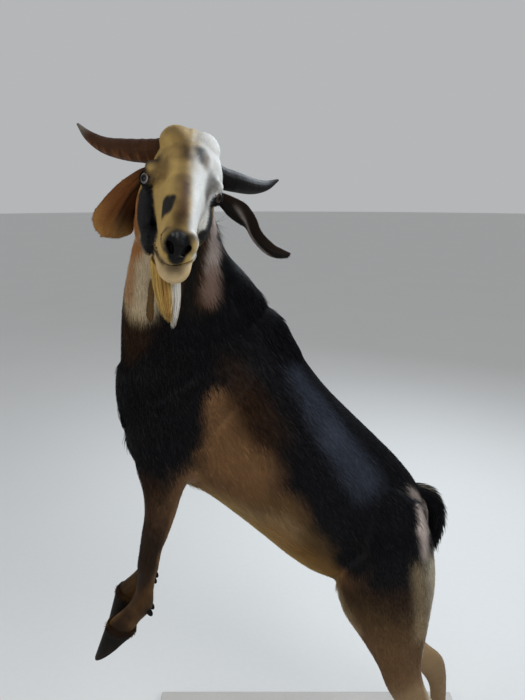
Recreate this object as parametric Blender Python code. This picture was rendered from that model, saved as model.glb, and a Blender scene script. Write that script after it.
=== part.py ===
# A life-size billy goat, rearing, on a plain flat base.
# Metres, +Z up. The goat faces -X and its left side is towards -Y.
# The origin is the middle of the underside of the base.

import math
import random

import bmesh
import bpy
import numpy as np
from mathutils import Vector

# Driving sizes of the whole
gap = 0.0003                     # kept between nodes that meet
base_length = 0.86
base_width = 0.46
base_thickness = 0.03
base_edge = 0.004
ground = base_thickness + gap    # level of the hind soles

# Fineness of the flesh before it is parted
body_voxel = 0.0065
head_voxel = 0.0028
body_triangles = 5000
head_triangles = 3100

# Locks of long hair: length, width, thickness
beard_lock = (0.058, 0.0115, 0.0060)
tail_lock = (0.040, 0.0120, 0.0060)
ruff_lock = (0.044, 0.0150, 0.0060)
tuft_lock = (0.034, 0.0110, 0.0050)
lock_levels = 4
lock_seed = 7

# Head: where the poll is, and how the head is turned, dipped and rolled
poll = Vector((-0.249, -0.150, 1.539))
head_yaw = math.radians(7.0)
head_dip = math.radians(21.0)
head_roll = math.radians(15.4)

# Eyes, in head places: forward from the poll, left of it, and up from the face
eye_places = {"left": (0.0965, 0.0455, -0.035), "right": (0.0975, -0.0520, -0.034)}
eye_look = (0.64, 0.74, 0.22)
eye_radius = 0.0140
lid_thickness = 0.0022

# Trunk, from the buttocks to the breast: back x z, belly x z, half width
trunk_rows = [
    (0.238, 0.745, 0.205, 0.672, 0.040),
    (0.230, 0.806, 0.130, 0.645, 0.080),
    (0.202, 0.862, 0.045, 0.628, 0.102),
    (0.162, 0.912, -0.018, 0.648, 0.120),
    (0.112, 0.963, -0.078, 0.694, 0.136),
    (0.060, 1.014, -0.134, 0.748, 0.146),
    (0.006, 1.070, -0.196, 0.803, 0.146),
    (-0.040, 1.130, -0.262, 0.852, 0.136),
    (-0.072, 1.188, -0.335, 0.886, 0.124),
    (-0.105, 1.236, -0.398, 0.938, 0.112),
    (-0.144, 1.262, -0.434, 1.030, 0.098),
    (-0.187, 1.266, -0.432, 1.115, 0.078),
    (-0.235, 1.255, -0.400, 1.165, 0.045),
]

# Neck, from inside the chest to inside the head: throat x y z, nape x y z, half width
neck_rows = [
    (-0.420, 0.000, 1.060, -0.120, 0.000, 1.180, 0.090),
    (-0.420, -0.005, 1.160, -0.124, 0.000, 1.254, 0.088),
    (-0.408, -0.022, 1.250, -0.152, -0.015, 1.300, 0.078),
    (-0.388, -0.050, 1.320, -0.194, -0.035, 1.350, 0.067),
    (-0.364, -0.082, 1.380, -0.214, -0.058, 1.410, 0.059),
    (-0.338, -0.112, 1.425, -0.222, -0.080, 1.475, 0.054),
    (-0.308, -0.140, 1.455, -0.232, -0.096, 1.520, 0.047),
]

# Near hind leg, from the hip past the coronet: front x z, back x z, middle y, half width
hind_rows = [
    (0.095, 0.840, 0.205, 0.840, 0.058, 0.030),
    (0.048, 0.755, 0.228, 0.768, 0.076, 0.052),
    (0.028, 0.665, 0.240, 0.675, 0.086, 0.060),
    (0.046, 0.590, 0.235, 0.590, 0.091, 0.053),
    (0.088, 0.520, 0.229, 0.515, 0.092, 0.043),
    (0.126, 0.448, 0.226, 0.450, 0.090, 0.034),
    (0.150, 0.385, 0.237, 0.395, 0.090, 0.029),
    (0.178, 0.335, 0.257, 0.350, 0.090, 0.028),
    (0.197, 0.295, 0.277, 0.314, 0.090, 0.028),
    (0.207, 0.252, 0.271, 0.262, 0.090, 0.023),
    (0.214, 0.205, 0.262, 0.208, 0.090, 0.0195),
    (0.219, 0.150, 0.262, 0.150, 0.090, 0.0185),
    (0.219, 0.116, 0.266, 0.108, 0.090, 0.023),
    (0.204, 0.093, 0.248, 0.078, 0.090, 0.021),
    (0.188, 0.073, 0.238, 0.055, 0.090, 0.0245),
    (0.174, 0.055, 0.228, 0.036, 0.090, 0.0245),
]
hind_coronet = (0.190, 0.075, 0.239, 0.057, 0.090, 0.0245)
hind_sole = (0.154, ground, 0.230, ground, 0.090, 0.0265)
hind_fetlock = 12

# The far hind leg is the same leg set further back, with its hock lower
far_hind = dict(shift=0.102, drop=0.022, shift_from=0.50, shift_to=0.17)

# Near foreleg, from the shoulder past the coronet, its hoof tipped on its toe
fore_rows = [
    (-0.342, 1.120, -0.245, 1.125, 0.060, 0.028),
    (-0.396, 1.020, -0.232, 1.005, 0.080, 0.042),
    (-0.386, 0.945, -0.262, 0.930, 0.089, 0.045),
    (-0.373, 0.885, -0.290, 0.884, 0.092, 0.038),
    (-0.373, 0.835, -0.307, 0.830, 0.092, 0.032),
    (-0.383, 0.780, -0.328, 0.772, 0.093, 0.027),
    (-0.389, 0.745, -0.344, 0.738, 0.094, 0.025),
    (-0.394, 0.716, -0.348, 0.710, 0.095, 0.027),
    (-0.396, 0.685, -0.356, 0.680, 0.095, 0.022),
    (-0.402, 0.650, -0.362, 0.643, 0.095, 0.019),
    (-0.414, 0.620, -0.367, 0.604, 0.095, 0.023),
    (-0.436, 0.594, -0.394, 0.572, 0.095, 0.021),
    (-0.458, 0.574, -0.409, 0.548, 0.095, 0.0245),
    (-0.478, 0.554, -0.424, 0.524, 0.095, 0.0245),
]
fore_coronet = (-0.470, 0.561, -0.408, 0.541, 0.095, 0.0245)
fore_sole = (-0.502, 0.474, -0.436, 0.520, 0.095, 0.0265)
fore_fetlock = 10

# Far foreleg, which leans across behind the near one
far_fore_rows = fore_rows[:2] + [
    (-0.394, 0.945, -0.276, 0.930, 0.089, 0.043),
    (-0.388, 0.885, -0.310, 0.886, 0.092, 0.036),
    (-0.386, 0.835, -0.324, 0.834, 0.092, 0.031),
    (-0.387, 0.785, -0.335, 0.778, 0.093, 0.027),
    (-0.386, 0.750, -0.340, 0.743, 0.094, 0.025),
    (-0.392, 0.724, -0.345, 0.717, 0.095, 0.027),
    (-0.395, 0.700, -0.354, 0.694, 0.095, 0.022),
    (-0.400, 0.676, -0.360, 0.668, 0.095, 0.019),
    (-0.412, 0.652, -0.368, 0.636, 0.095, 0.023),
    (-0.434, 0.630, -0.394, 0.605, 0.095, 0.021),
    (-0.456, 0.610, -0.414, 0.582, 0.095, 0.0245),
    (-0.472, 0.592, -0.432, 0.560, 0.095, 0.0245),
]
far_fore_coronet = (-0.460, 0.604, -0.418, 0.578, 0.095, 0.0245)
far_fore_sole = (-0.486, 0.512, -0.438, 0.544, 0.095, 0.0260)
far_fore = dict(lean=-0.128, shift_from=0.95, shift_to=0.62)

# Skull: forward place, top, bottom, half width, middle, all along the head's own axes
skull_rows = [
    (-0.050, -0.034, -0.075, 0.030, 0.002),
    (-0.034, -0.010, -0.092, 0.045, 0.003),
    (-0.012, 0.010, -0.104, 0.054, 0.003),
    (0.018, 0.023, -0.112, 0.062, 0.005),
    (0.050, 0.024, -0.118, 0.063, 0.005),
    (0.080, 0.016, -0.117, 0.059, 0.002),
    (0.110, 0.007, -0.112, 0.049, -0.002),
    (0.140, 0.001, -0.106, 0.0400, -0.0040),
    (0.170, -0.004, -0.100, 0.0335, -0.0055),
    (0.200, -0.010, -0.096, 0.0295, -0.0055),
    (0.228, -0.019, -0.093, 0.0270, -0.0050),
    (0.250, -0.031, -0.089, 0.0245, -0.0045),
    (0.264, -0.048, -0.080, 0.0170, -0.0030),
]
jaw_rows = [
    (0.020, -0.060, -0.118, 0.036, 0.002),
    (0.060, -0.060, -0.128, 0.041, 0.001),
    (0.100, -0.060, -0.129, 0.039, -0.001),
    (0.140, -0.060, -0.127, 0.0350, -0.0020),
    (0.175, -0.062, -0.123, 0.0320, -0.0020),
    (0.205, -0.064, -0.121, 0.0275, -0.0015),
    (0.228, -0.067, -0.121, 0.0240, -0.0010),
    (0.245, -0.070, -0.117, 0.0205, -0.0005),
    (0.256, -0.075, -0.107, 0.0130, 0.0000),
]

# Horns: forward, out, up, radius, from the root in the skull to the tip; the left one droops more
right_horn_rows = [
    (0.010, 0.026, -0.012, 0.0215),
    (0.000, 0.060, -0.025, 0.0200),
    (-0.020, 0.096, -0.039, 0.0180),
    (-0.047, 0.130, -0.050, 0.0140),
    (-0.074, 0.159, -0.051, 0.0090),
    (-0.095, 0.182, -0.043, 0.0025),
]
left_horn_rows = [
    (0.010, 0.026, -0.019, 0.0205),
    (0.000, 0.060, -0.035, 0.0195),
    (-0.020, 0.096, -0.043, 0.0180),
    (-0.047, 0.130, -0.051, 0.0145),
    (-0.074, 0.159, -0.052, 0.0090),
    (-0.095, 0.182, -0.043, 0.0025),
]

# Ears: front edge and back edge, each forward, out, up; then how deep the cup is
left_ear_rows = [
    (0.046, 0.042, -0.042, 0.026, 0.048, -0.064, 0.000),
    (0.048, 0.066, -0.046, 0.022, 0.072, -0.078, 0.006),
    (0.054, 0.088, -0.049, 0.010, 0.092, -0.097, 0.010),
    (0.060, 0.106, -0.054, 0.000, 0.115, -0.110, 0.013),
    (0.060, 0.122, -0.069, -0.008, 0.137, -0.117, 0.014),
    (0.050, 0.144, -0.096, -0.004, 0.156, -0.134, 0.012),
    (0.038, 0.178, -0.117, 0.006, 0.174, -0.148, 0.008),
    (0.030, 0.200, -0.124, 0.014, 0.197, -0.150, 0.005),
    (0.024, 0.218, -0.128, 0.020, 0.216, -0.140, 0.000),
]
right_ear_rows = [
    (0.026, 0.040, -0.036, 0.034, 0.042, -0.056, 0.000),
    (0.028, 0.062, -0.043, 0.034, 0.055, -0.068, 0.006),
    (0.034, 0.078, -0.057, 0.034, 0.058, -0.082, 0.010),
    (0.040, 0.097, -0.078, 0.039, 0.061, -0.098, 0.013),
    (0.048, 0.114, -0.104, 0.046, 0.060, -0.118, 0.015),
    (0.052, 0.126, -0.132, 0.050, 0.060, -0.135, 0.013),
    (0.053, 0.122, -0.152, 0.052, 0.062, -0.150, 0.008),
    (0.052, 0.108, -0.166, 0.052, 0.080, -0.162, 0.000),
]
ear_thickness = 0.0030

# Wattles: x y z down their middle line, radius
left_wattle_rows = [
    (-0.276, -0.085, 1.325, 0.0050),
    (-0.275, -0.118, 1.308, 0.0055),
    (-0.280, -0.134, 1.280, 0.0060),
    (-0.286, -0.138, 1.250, 0.0072),
    (-0.288, -0.139, 1.232, 0.0040),
]
right_wattle_rows = [
    (-0.326, -0.085, 1.320, 0.0050),
    (-0.328, -0.118, 1.306, 0.0055),
    (-0.330, -0.132, 1.280, 0.0060),
    (-0.332, -0.134, 1.258, 0.0070),
    (-0.332, -0.134, 1.242, 0.0040),
]

# Scrotum: x y z down its middle line, radius
scrotum_rows = [
    (0.152, 0.0, 0.668, 0.020),
    (0.146, 0.0, 0.620, 0.023),
    (0.139, 0.0, 0.578, 0.033),
    (0.135, 0.0, 0.545, 0.036),
    (0.134, 0.0, 0.518, 0.027),
    (0.134, 0.0, 0.506, 0.010),
]

# Tail: x z down its middle line, half thickness, half width
tail_rows = [
    (0.194, 0.842, 0.014, 0.018),
    (0.234, 0.826, 0.016, 0.020),
    (0.255, 0.797, 0.020, 0.023),
    (0.262, 0.760, 0.020, 0.022),
    (0.258, 0.722, 0.014, 0.017),
    (0.250, 0.698, 0.004, 0.006),
]


def head_axes():
    level = Vector((math.sin(head_yaw), -math.cos(head_yaw), 0))
    up = Vector((0, 0, 1))
    forward = level * math.cos(head_dip) - up * math.sin(head_dip)
    rise = level * math.sin(head_dip) + up * math.cos(head_dip)
    left = rise.cross(forward)
    tilted_left = left * math.cos(head_roll) - rise * math.sin(head_roll)
    tilted_rise = rise * math.cos(head_roll) + left * math.sin(head_roll)
    return forward, tilted_left, tilted_rise


head_forward, head_left, head_rise = head_axes()
down = Vector((0, 0, -1))
sideways = Vector((0, 1, 0))


def on_head(forward, left, up):
    return poll + head_forward * forward + head_left * left + head_rise * up


def clear_scene():
    for thing in list(bpy.data.objects):
        bpy.data.objects.remove(thing, do_unlink=True)


def remove(things):
    for thing in things:
        bpy.data.objects.remove(thing, do_unlink=True)


def link(name, mesh):
    thing = bpy.data.objects.new(name, mesh)
    bpy.context.scene.collection.objects.link(thing)
    return thing


def new_object(name, points, faces):
    mesh = bpy.data.meshes.new(name)
    mesh.from_pydata([tuple(p) for p in points], [], faces)
    mesh.update()
    return face_outward(link(name, mesh))


def face_outward(thing):
    work = bmesh.new()
    work.from_mesh(thing.data)
    bmesh.ops.recalc_face_normals(work, faces=work.faces)
    if work.calc_volume(signed=True) < 0:
        bmesh.ops.reverse_faces(work, faces=work.faces)
    work.to_mesh(thing.data)
    work.free()
    return thing


def smooth_rows(rows, count):
    # a smooth curve through the rows, read at evenly spaced places (Catmull-Rom)
    table = np.array(rows, float)
    padded = np.vstack([2 * table[0] - table[1], table, 2 * table[-1] - table[-2]])
    at = np.linspace(0, len(table) - 1, count)
    index = np.minimum(at.astype(int), len(table) - 2)
    t = (at - index)[:, None]
    p0, p1, p2, p3 = (padded[index + k] for k in range(4))
    return 0.5 * (2 * p1 + (p2 - p0) * t + (2 * p0 - 5 * p1 + 4 * p2 - p3) * t**2
                  + (3 * p1 - p0 - 3 * p2 + p3) * t**3)


def unit(arrows):
    return arrows / np.linalg.norm(arrows, axis=-1, keepdims=True)


def tube(name, rings):
    # closed body through rings of equal count, its two ends closed by fans
    count, sides = rings.shape[0], rings.shape[1]
    points = rings.reshape(-1, 3).tolist()
    faces = []
    for i in range(count - 1):
        for j in range(sides):
            k = (j + 1) % sides
            here, there = i * sides, (i + 1) * sides
            faces.append((here + j, here + k, there + k, there + j))
    for row in (0, count - 1):
        middle = len(points)
        points.append(rings[row].mean(axis=0).tolist())
        for j in range(sides):
            k = (j + 1) % sides
            faces.append((middle, row * sides + j, row * sides + k))
    return new_object(name, points, faces)


def limb(name, rows, count=30, sides=20, narrow=0.0):
    # rows: front x y z, back x y z, half width; each ring is an oval between front and back
    # narrow below nought makes the ring slimmer on its front, above nought on its back
    table = smooth_rows(rows, count)
    front, back, half = table[:, 0:3], table[:, 3:6], table[:, 6]
    centre = (front + back) / 2
    reach = (front - back) / 2
    side = unit(np.cross(np.gradient(centre, axis=0), reach))
    angle = np.linspace(0, 2 * np.pi, sides, endpoint=False)
    across = np.sin(angle) * (1 + narrow * np.cos(angle))
    rings = (centre[:, None, :] + reach[:, None, :] * np.cos(angle)[None, :, None]
             + side[:, None, :] * (half[:, None] * across[None, :])[:, :, None])
    return tube(name, rings)


def upright_rows(rows, side, shift=0.0, drop=0.0, shift_from=1.0, shift_to=0.0, lean=0.0):
    # rows: front x z, back x z, middle y, half width, for a limb in an upright plane;
    # lower down it is moved by shift along X and by lean along Y, and half way it drops
    table = []
    for front_x, front_z, back_x, back_z, y, half in rows:
        share = (shift_from - (front_z + back_z) / 2) / (shift_from - shift_to)
        share = min(max(share, 0), 1)
        share = share * share * (3 - 2 * share)
        move = shift * share
        place = side * y + lean * share
        fall = drop * math.sin(math.pi * share)
        table.append((front_x + move, place, front_z - fall, back_x + move, place, back_z - fall, half))
    return table


def ball(name, centre, radii, axes=None, segments=20, rings=12):
    axes = axes or (Vector((1, 0, 0)), Vector((0, 1, 0)), Vector((0, 0, 1)))
    work = bmesh.new()
    bmesh.ops.create_uvsphere(work, u_segments=segments, v_segments=rings, radius=1.0)
    for v in work.verts:
        moved = [axes[i] * (v.co[i] * radii[i]) for i in range(3)]
        v.co = centre + moved[0] + moved[1] + moved[2]
    mesh = bpy.data.meshes.new(name)
    work.to_mesh(mesh)
    work.free()
    return face_outward(link(name, mesh))


def bake_modifiers(thing):
    graph = bpy.context.evaluated_depsgraph_get()
    mesh = bpy.data.meshes.new_from_object(thing.evaluated_get(graph))
    thing.modifiers.clear()
    thing.data = mesh
    return thing


def copy_of(thing, name):
    return link(name, thing.data.copy())


def joined(name, things):
    work = bmesh.new()
    for thing in things:
        work.from_mesh(thing.data)
    mesh = bpy.data.meshes.new(name)
    work.to_mesh(mesh)
    work.free()
    return link(name, mesh)


def fused(name, things, voxel, rounds, triangles):
    # flesh grown together: remeshed as one skin, smoothed, then made coarser
    whole = joined(name, things)
    remesh = whole.modifiers.new("grow together", "REMESH")
    remesh.mode = "VOXEL"
    remesh.voxel_size = voxel
    soften = whole.modifiers.new("soften", "SMOOTH")
    soften.factor = 0.5
    soften.iterations = rounds
    bake_modifiers(whole)
    keep_largest(whole)
    whole.data.calc_loop_triangles()
    decimate = whole.modifiers.new("coarser", "DECIMATE")
    decimate.ratio = min(1.0, triangles / len(whole.data.loop_triangles))
    return bake_modifiers(whole)


def loose_groups(work):
    left = set(work.faces)
    groups = []
    while left:
        first = left.pop()
        group, stack = {first}, [first]
        while stack:
            face = stack.pop()
            for edge in face.edges:
                for other in edge.link_faces:
                    if other in left:
                        left.discard(other)
                        group.add(other)
                        stack.append(other)
        groups.append(group)
    groups.sort(key=lambda group: sum(f.calc_area() for f in group), reverse=True)
    return groups


def keep_only(thing, number):
    # keeps one of the closed surfaces of a mesh, counted from the largest
    work = bmesh.new()
    work.from_mesh(thing.data)
    groups = loose_groups(work)
    stray = [face for i, group in enumerate(groups) if i != number for face in group]
    bmesh.ops.delete(work, geom=stray, context="FACES")
    loose = [v for v in work.verts if not v.link_faces]
    bmesh.ops.delete(work, geom=loose, context="VERTS")
    work.to_mesh(thing.data)
    work.free()
    return thing


def keep_largest(thing):
    return keep_only(thing, 0)


def two_pieces(thing, names):
    # the two largest closed surfaces as two objects, the one further to -Y first
    pieces = [keep_only(copy_of(thing, name), i) for i, name in enumerate(names)]
    pieces.sort(key=lambda piece: sum(v.co.y for v in piece.data.vertices) / len(piece.data.vertices))
    remove([thing])
    for piece, name in zip(pieces, names):
        piece.name = "sorting"
    for piece, name in zip(pieces, names):
        piece.name = name
    return pieces


def boolean(thing, other, operation):
    cut = thing.modifiers.new("cut", "BOOLEAN")
    cut.operation = operation
    cut.object = other
    return bake_modifiers(thing)


def fuse_onto(thing, pieces):
    # one union of the node with the closed pieces that grow from it
    group = bpy.data.collections.new("pieces")
    for piece in pieces:
        group.objects.link(piece)
    union = thing.modifiers.new("fuse", "BOOLEAN")
    union.operation = "UNION"
    union.operand_type = "COLLECTION"
    union.collection = group
    bake_modifiers(thing)
    remove(pieces)
    bpy.data.collections.remove(group)
    return keep_largest(thing)


def cut_away(thing, cutters):
    for cutter in cutters:
        boolean(thing, cutter, "DIFFERENCE")
    remove(cutters)
    return keep_largest(thing)


def set_against(thing, carriers):
    # trims the root of a piece to the surface that carries it, the usual gap away
    for carrier in carriers:
        grown = copy_of(carrier, "grown")
        normals = [v.normal.copy() for v in grown.data.vertices]
        for v, normal in zip(grown.data.vertices, normals):
            v.co += normal * (gap * 1.2)
        boolean(thing, grown, "DIFFERENCE")
        remove([grown])
    return keep_largest(thing)


def room(name, point, outward, across, reach, width, depth):
    # a box that starts at point and reaches outward; width runs along across
    outward = outward.normalized()
    across = (across - outward * across.dot(outward)).normalized()
    square = outward.cross(across)
    points = []
    for i in (0, 1):
        for j in (-0.5, 0.5):
            for k in (-0.5, 0.5):
                points.append(point + outward * (reach * i) + across * (width * j) + square * (depth * k))
    faces = [(0, 1, 3, 2), (4, 6, 7, 5), (0, 4, 5, 1), (2, 3, 7, 6), (0, 2, 6, 4), (1, 5, 7, 3)]
    return new_object(name, points, faces)


def part_off(whole, name, point, outward, across, reach, width, depth):
    # takes the piece beyond a plane off the whole, with a gap between the two
    outward = outward.normalized()
    inside = room("room", point, outward, across, reach, width, depth)
    wider = room("wider", point - outward * gap, outward, across, reach, width, depth)
    piece = copy_of(whole, name)
    boolean(piece, inside, "INTERSECT")
    boolean(whole, wider, "DIFFERENCE")
    remove([inside, wider])
    keep_largest(whole)
    return piece


def head_loft(name, rows, sides, slim):
    # ovals square to the face, slimmer towards their underside by slim
    table = smooth_rows(rows, 3 * len(rows))
    angle = np.linspace(0, 2 * np.pi, sides, endpoint=False)
    rings = []
    for forward, top, bottom, half, middle in table:
        up = (top + bottom) / 2 + (top - bottom) / 2 * np.cos(angle)
        left = middle + half * np.sin(angle) * (1 + slim * (np.cos(angle) - 1) / 2)
        rings.append([on_head(forward, a, b) for a, b in zip(left, up)])
    return tube(name, np.array(rings))


def head_ball(name, place, radii):
    return ball(name, on_head(*place), radii, (head_forward, head_left, head_rise))


def head_pieces():
    pieces = [head_loft("skull", skull_rows, 28, 0.20), head_loft("jaw", jaw_rows, 20, -0.10)]
    lid = eye_radius + lid_thickness
    for word, side in (("left", 1), ("right", -1)):
        forward, left, up = eye_places[word]
        pieces += [
            head_ball("orbit", (forward - 0.014, left - side * 0.003, up + 0.002), (0.028, 0.015, 0.024)),
            head_ball("brow", (forward - 0.006, left + side * 0.003, up + 0.017), (0.018, 0.010, 0.008)),
            head_ball("lids", (forward, left, up), (lid, lid, lid)),
            head_ball("cheek", (0.072, side * 0.0380 - 0.0050, -0.080), (0.088, 0.0225, 0.040)),
            head_ball("dome", (0.012, side * 0.0200 + 0.0010, 0.003), (0.046, 0.030, 0.027)),
            head_ball("nostril wing", (0.249, side * 0.0140 - 0.003, -0.050), (0.015, 0.012, 0.018)),
            head_ball("upper lip", (0.236, side * 0.0130 - 0.0015, -0.069), (0.026, 0.0135, 0.0110)),
        ]
    return pieces + [
        head_ball("chin", (0.235, 0, -0.102), (0.021, 0.021, 0.017)),
        head_ball("forehead", (0.008, 0.001, 0.008), (0.044, 0.016, 0.021)),
        head_ball("throat fold", (0.038, -0.040, -0.116), (0.062, 0.024, 0.050)),
        head_ball("right jaw", (0.125, -0.0360, -0.103), (0.062, 0.0145, 0.028)),
    ]


def mouth_slit():
    # a thin band bent round the muzzle at the line between the lips
    corner, length, half, height, thick = 0.198, 0.066, 0.030, -0.0765, 0.0016
    rings = []
    for turn in np.linspace(-0.5 * math.pi, 0.5 * math.pi, 19):
        ring = []
        for scale, step in ((0.80, -1), (1.25, -1), (1.25, 1), (0.80, 1)):
            forward = corner + length * scale * math.cos(turn)
            left = half * scale * math.sin(turn)
            lift = height + 0.48 * left + step * thick / 2
            ring.append(on_head(forward, left, lift))
        rings.append(ring)
    return tube("mouth slit", np.array(rings))


def eye_axes(side):
    # the way an eye looks, the line from its front corner to its back corner, and across that
    forward, out, up = eye_look
    look = (head_forward * forward + head_left * (side * out) + head_rise * up).normalized()
    slant = head_forward * -out + head_left * (side * forward) + head_rise * 0.35
    slant = (slant - look * slant.dot(look)).normalized()
    return look, slant, look.cross(slant)


def finish_head(head):
    # eye sockets, the openings between the lids, nostrils and the mouth line
    cutters = [mouth_slit()]
    socket = eye_radius + gap
    for word, side in (("left", 1), ("right", -1)):
        look, slant, across = eye_axes(side)
        front = on_head(*eye_places[word]) + look * eye_radius
        cutters += [
            head_ball("socket", eye_places[word], (socket, socket, socket)),
            ball("eye opening", front, (0.0080, 0.0118, 0.0085), (look, slant, across)),
            head_ball("nostril", (0.2620, side * 0.0140 - 0.004, -0.051), (0.0075, 0.0042, 0.0070)),
        ]
    return cut_away(head, cutters)


def horn(name, side, rows):
    # an oval horn with low growth rings, running out and back and turning up at the tip
    count, sides = 19, 10
    table = smooth_rows(rows, count)
    places = np.array([on_head(forward, side * out, up) for forward, out, up, radius in table])
    ridge = 1 + 0.045 * np.cos(np.arange(count) * 2.3)
    radii = table[:, 3] * ridge
    along = unit(np.gradient(places, axis=0))
    rise = np.array(head_rise)
    lift = unit(rise[None, :] - along * (along @ rise)[:, None])
    out = np.cross(along, lift)
    angle = np.linspace(0, 2 * np.pi, sides, endpoint=False)
    rings = (places[:, None, :] + lift[:, None, :] * (radii[:, None] * 0.94 * np.cos(angle))[:, :, None]
             + out[:, None, :] * (radii[:, None] * 1.04 * np.sin(angle))[:, :, None])
    return tube(name, rings)


def ear(name, side, rows):
    # a leaf between its two edges, cupped between them, thinner towards its edges
    table = smooth_rows(rows, 15)
    front = np.array([on_head(r[0], side * r[1], r[2]) for r in table])
    back = np.array([on_head(r[3], side * r[4], r[5]) for r in table])
    middle = (front + back) / 2
    wide = (front - back) / 2
    along = np.gradient(middle, axis=0)
    out = unit(np.cross(along, wide)) * side
    place = np.linspace(-1, 1, 9)
    cup = table[:, 6]
    sheet = (middle[:, None, :] + wide[:, None, :] * place[None, :, None]
             + out[:, None, :] * (cup[:, None] * (0.5 - place[None, :] ** 2))[:, :, None])
    half_thick = ear_thickness / 2 * (1 - 0.6 * np.abs(place) ** 3)
    offset = out[:, None, :] * half_thick[None, :, None]
    rings = np.concatenate([sheet + offset, (sheet - offset)[:, ::-1]], axis=1)
    return tube(name, rings)


def round_strand(name, rows, count, sides):
    # rows: x y z, radius
    table = smooth_rows(rows, count)
    centre, radius = table[:, 0:3], np.maximum(table[:, 3], 0.0005)
    along = unit(np.gradient(centre, axis=0))
    first = unit(np.cross(along, np.array([[1.0, 0.2, 0.0]])))
    second = np.cross(along, first)
    angle = np.linspace(0, 2 * np.pi, sides, endpoint=False)
    rings = (centre[:, None, :] + first[:, None, :] * (radius[:, None] * np.cos(angle))[:, :, None]
             + second[:, None, :] * (radius[:, None] * np.sin(angle))[:, :, None])
    return tube(name, rings)


def tail_core(name):
    rows = [(x, 0, z, thick, half) for x, z, thick, half in tail_rows]
    table = smooth_rows(rows, 16)
    centre, thick, half = table[:, 0:3], table[:, 3], table[:, 4]
    along = unit(np.gradient(centre, axis=0))
    flat = np.array([0.0, 1.0, 0.0])
    lift = np.cross(along, flat[None, :])
    angle = np.linspace(0, 2 * np.pi, 12, endpoint=False)
    rings = (centre[:, None, :] + lift[:, None, :] * (thick[:, None] * np.cos(angle))[:, :, None]
             + flat[None, None, :] * (half[:, None] * np.sin(angle))[:, :, None])
    return tube(name, rings)


def coronet_plane(row):
    # middle of the coronet and the way that the hoof leaves it
    front, back = Vector(row[0:3]), Vector(row[3:6])
    line = front - back
    return (front + back) / 2, Vector((-line.z, 0, line.x)).normalized()


def claw(name, coronet, sole, side):
    # one half of a hoof: flat inside, round outside, from the coronet to its flat sole
    point, outward = coronet_plane(coronet)
    top_front = Vector(coronet[0:3]) + outward * gap
    top_back = Vector(coronet[3:6]) + outward * gap
    toe, heel = Vector(sole[0:3]), Vector(sole[3:6])
    cleft = 0.0016
    rings = []
    for level in np.linspace(0, 1, 5):
        front = top_front.lerp(toe, level)
        back = top_back.lerp(heel, level)
        half = coronet[6] + (sole[6] - coronet[6]) * level
        middle, reach = (front + back) / 2, (front - back) / 2
        ring = []
        for turn in np.linspace(0, math.pi, 9):
            spread = cleft + (half - cleft) * math.sin(turn) ** 0.8
            ring.append(middle + reach * math.cos(turn) + sideways * (side * spread))
        for share in (-0.5, 0.0, 0.5):
            ring.append(middle + reach * share + sideways * (side * cleft))
        rings.append(ring)
    return tube(name, np.array(rings))


def lock(root, way, flat, size, bend, sink):
    # a flat tapered lock: four-cornered rings from a root sunk in the flesh to a fine tip;
    # flat is the way that its broad side looks, bend how far its tip is drawn aside
    length, width, thick = size
    way = way.normalized()
    rings = []
    for share in np.linspace(0, 1, lock_levels + 1):
        centre = root + way * (length * share - sink * (1 - share)) + bend * (length * share * share)
        heading = (way + bend * (2 * share)).normalized()
        side = heading.cross(flat).normalized()
        rise = side.cross(heading)
        taper = 0.04 + 0.96 * math.cos(0.5 * math.pi * share) ** 0.8 * (0.8 + 0.4 * math.sin(math.pi * share))
        wide, high = side * (width / 2 * taper), rise * (thick / 2 * taper)
        rings.append([centre + wide, centre + high, centre - wide, centre - high])
    return tube("lock", np.array(rings))


def varied(size, chance):
    length, width, thick = size
    return length * chance.uniform(0.8, 1.12), width * chance.uniform(0.85, 1.15), thick


def beard_locks(chance):
    # rows of locks under the chin that hang down and draw together towards the tips
    locks = []
    rows = ((0.190, 3, 0.014), (0.204, 4, 0.019), (0.218, 4, 0.018), (0.233, 3, 0.011))
    for forward, count, half in rows:
        for i in range(count):
            left = half * (2 * i / (count - 1) - 1) + chance.uniform(-0.001, 0.001)
            root = on_head(forward, left - 0.004, -0.117)
            inward = head_left * (-0.34 * left / 0.017) + head_forward * (0.46 - (forward - 0.190) * 13)
            turn = chance.uniform(-1.1, 1.1)
            flat = head_forward * math.cos(turn) + head_left * math.sin(turn)
            way = down + head_left * (left * 12) + head_forward * 0.05
            locks.append(lock(root, way, flat, varied(beard_lock, chance), inward, 0.014))
    return locks


def tail_locks(chance):
    # hair along the outer side and the two edges of the tail, lying towards its tip
    table = smooth_rows([(x, 0, z, thick, half) for x, z, thick, half in tail_rows], 60)
    places, thick, half = table[:, 0:3], table[:, 3], table[:, 4]
    along = np.gradient(places, axis=0)
    locks = []
    for row, share in enumerate((0.22, 0.40, 0.56, 0.70, 0.82, 0.93)):
        at = int(share * 59)
        heading = Vector(along[at]).normalized()
        outward = heading.cross(sideways)
        spread = (-0.6, 0.6) if row % 2 else (-1.0, 0.0, 1.0)
        for turn in spread:
            lean = (outward * math.cos(turn) + sideways * math.sin(turn)).normalized()
            skin = outward * (thick[at] * math.cos(turn)) + sideways * (half[at] * math.sin(turn))
            root = Vector(places[at]) + skin * 0.82
            way = heading + lean * 0.34
            locks.append(lock(root, way, lean, varied(tail_lock, chance), down * 0.10 - lean * 0.16, 0.008))
    return locks


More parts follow.
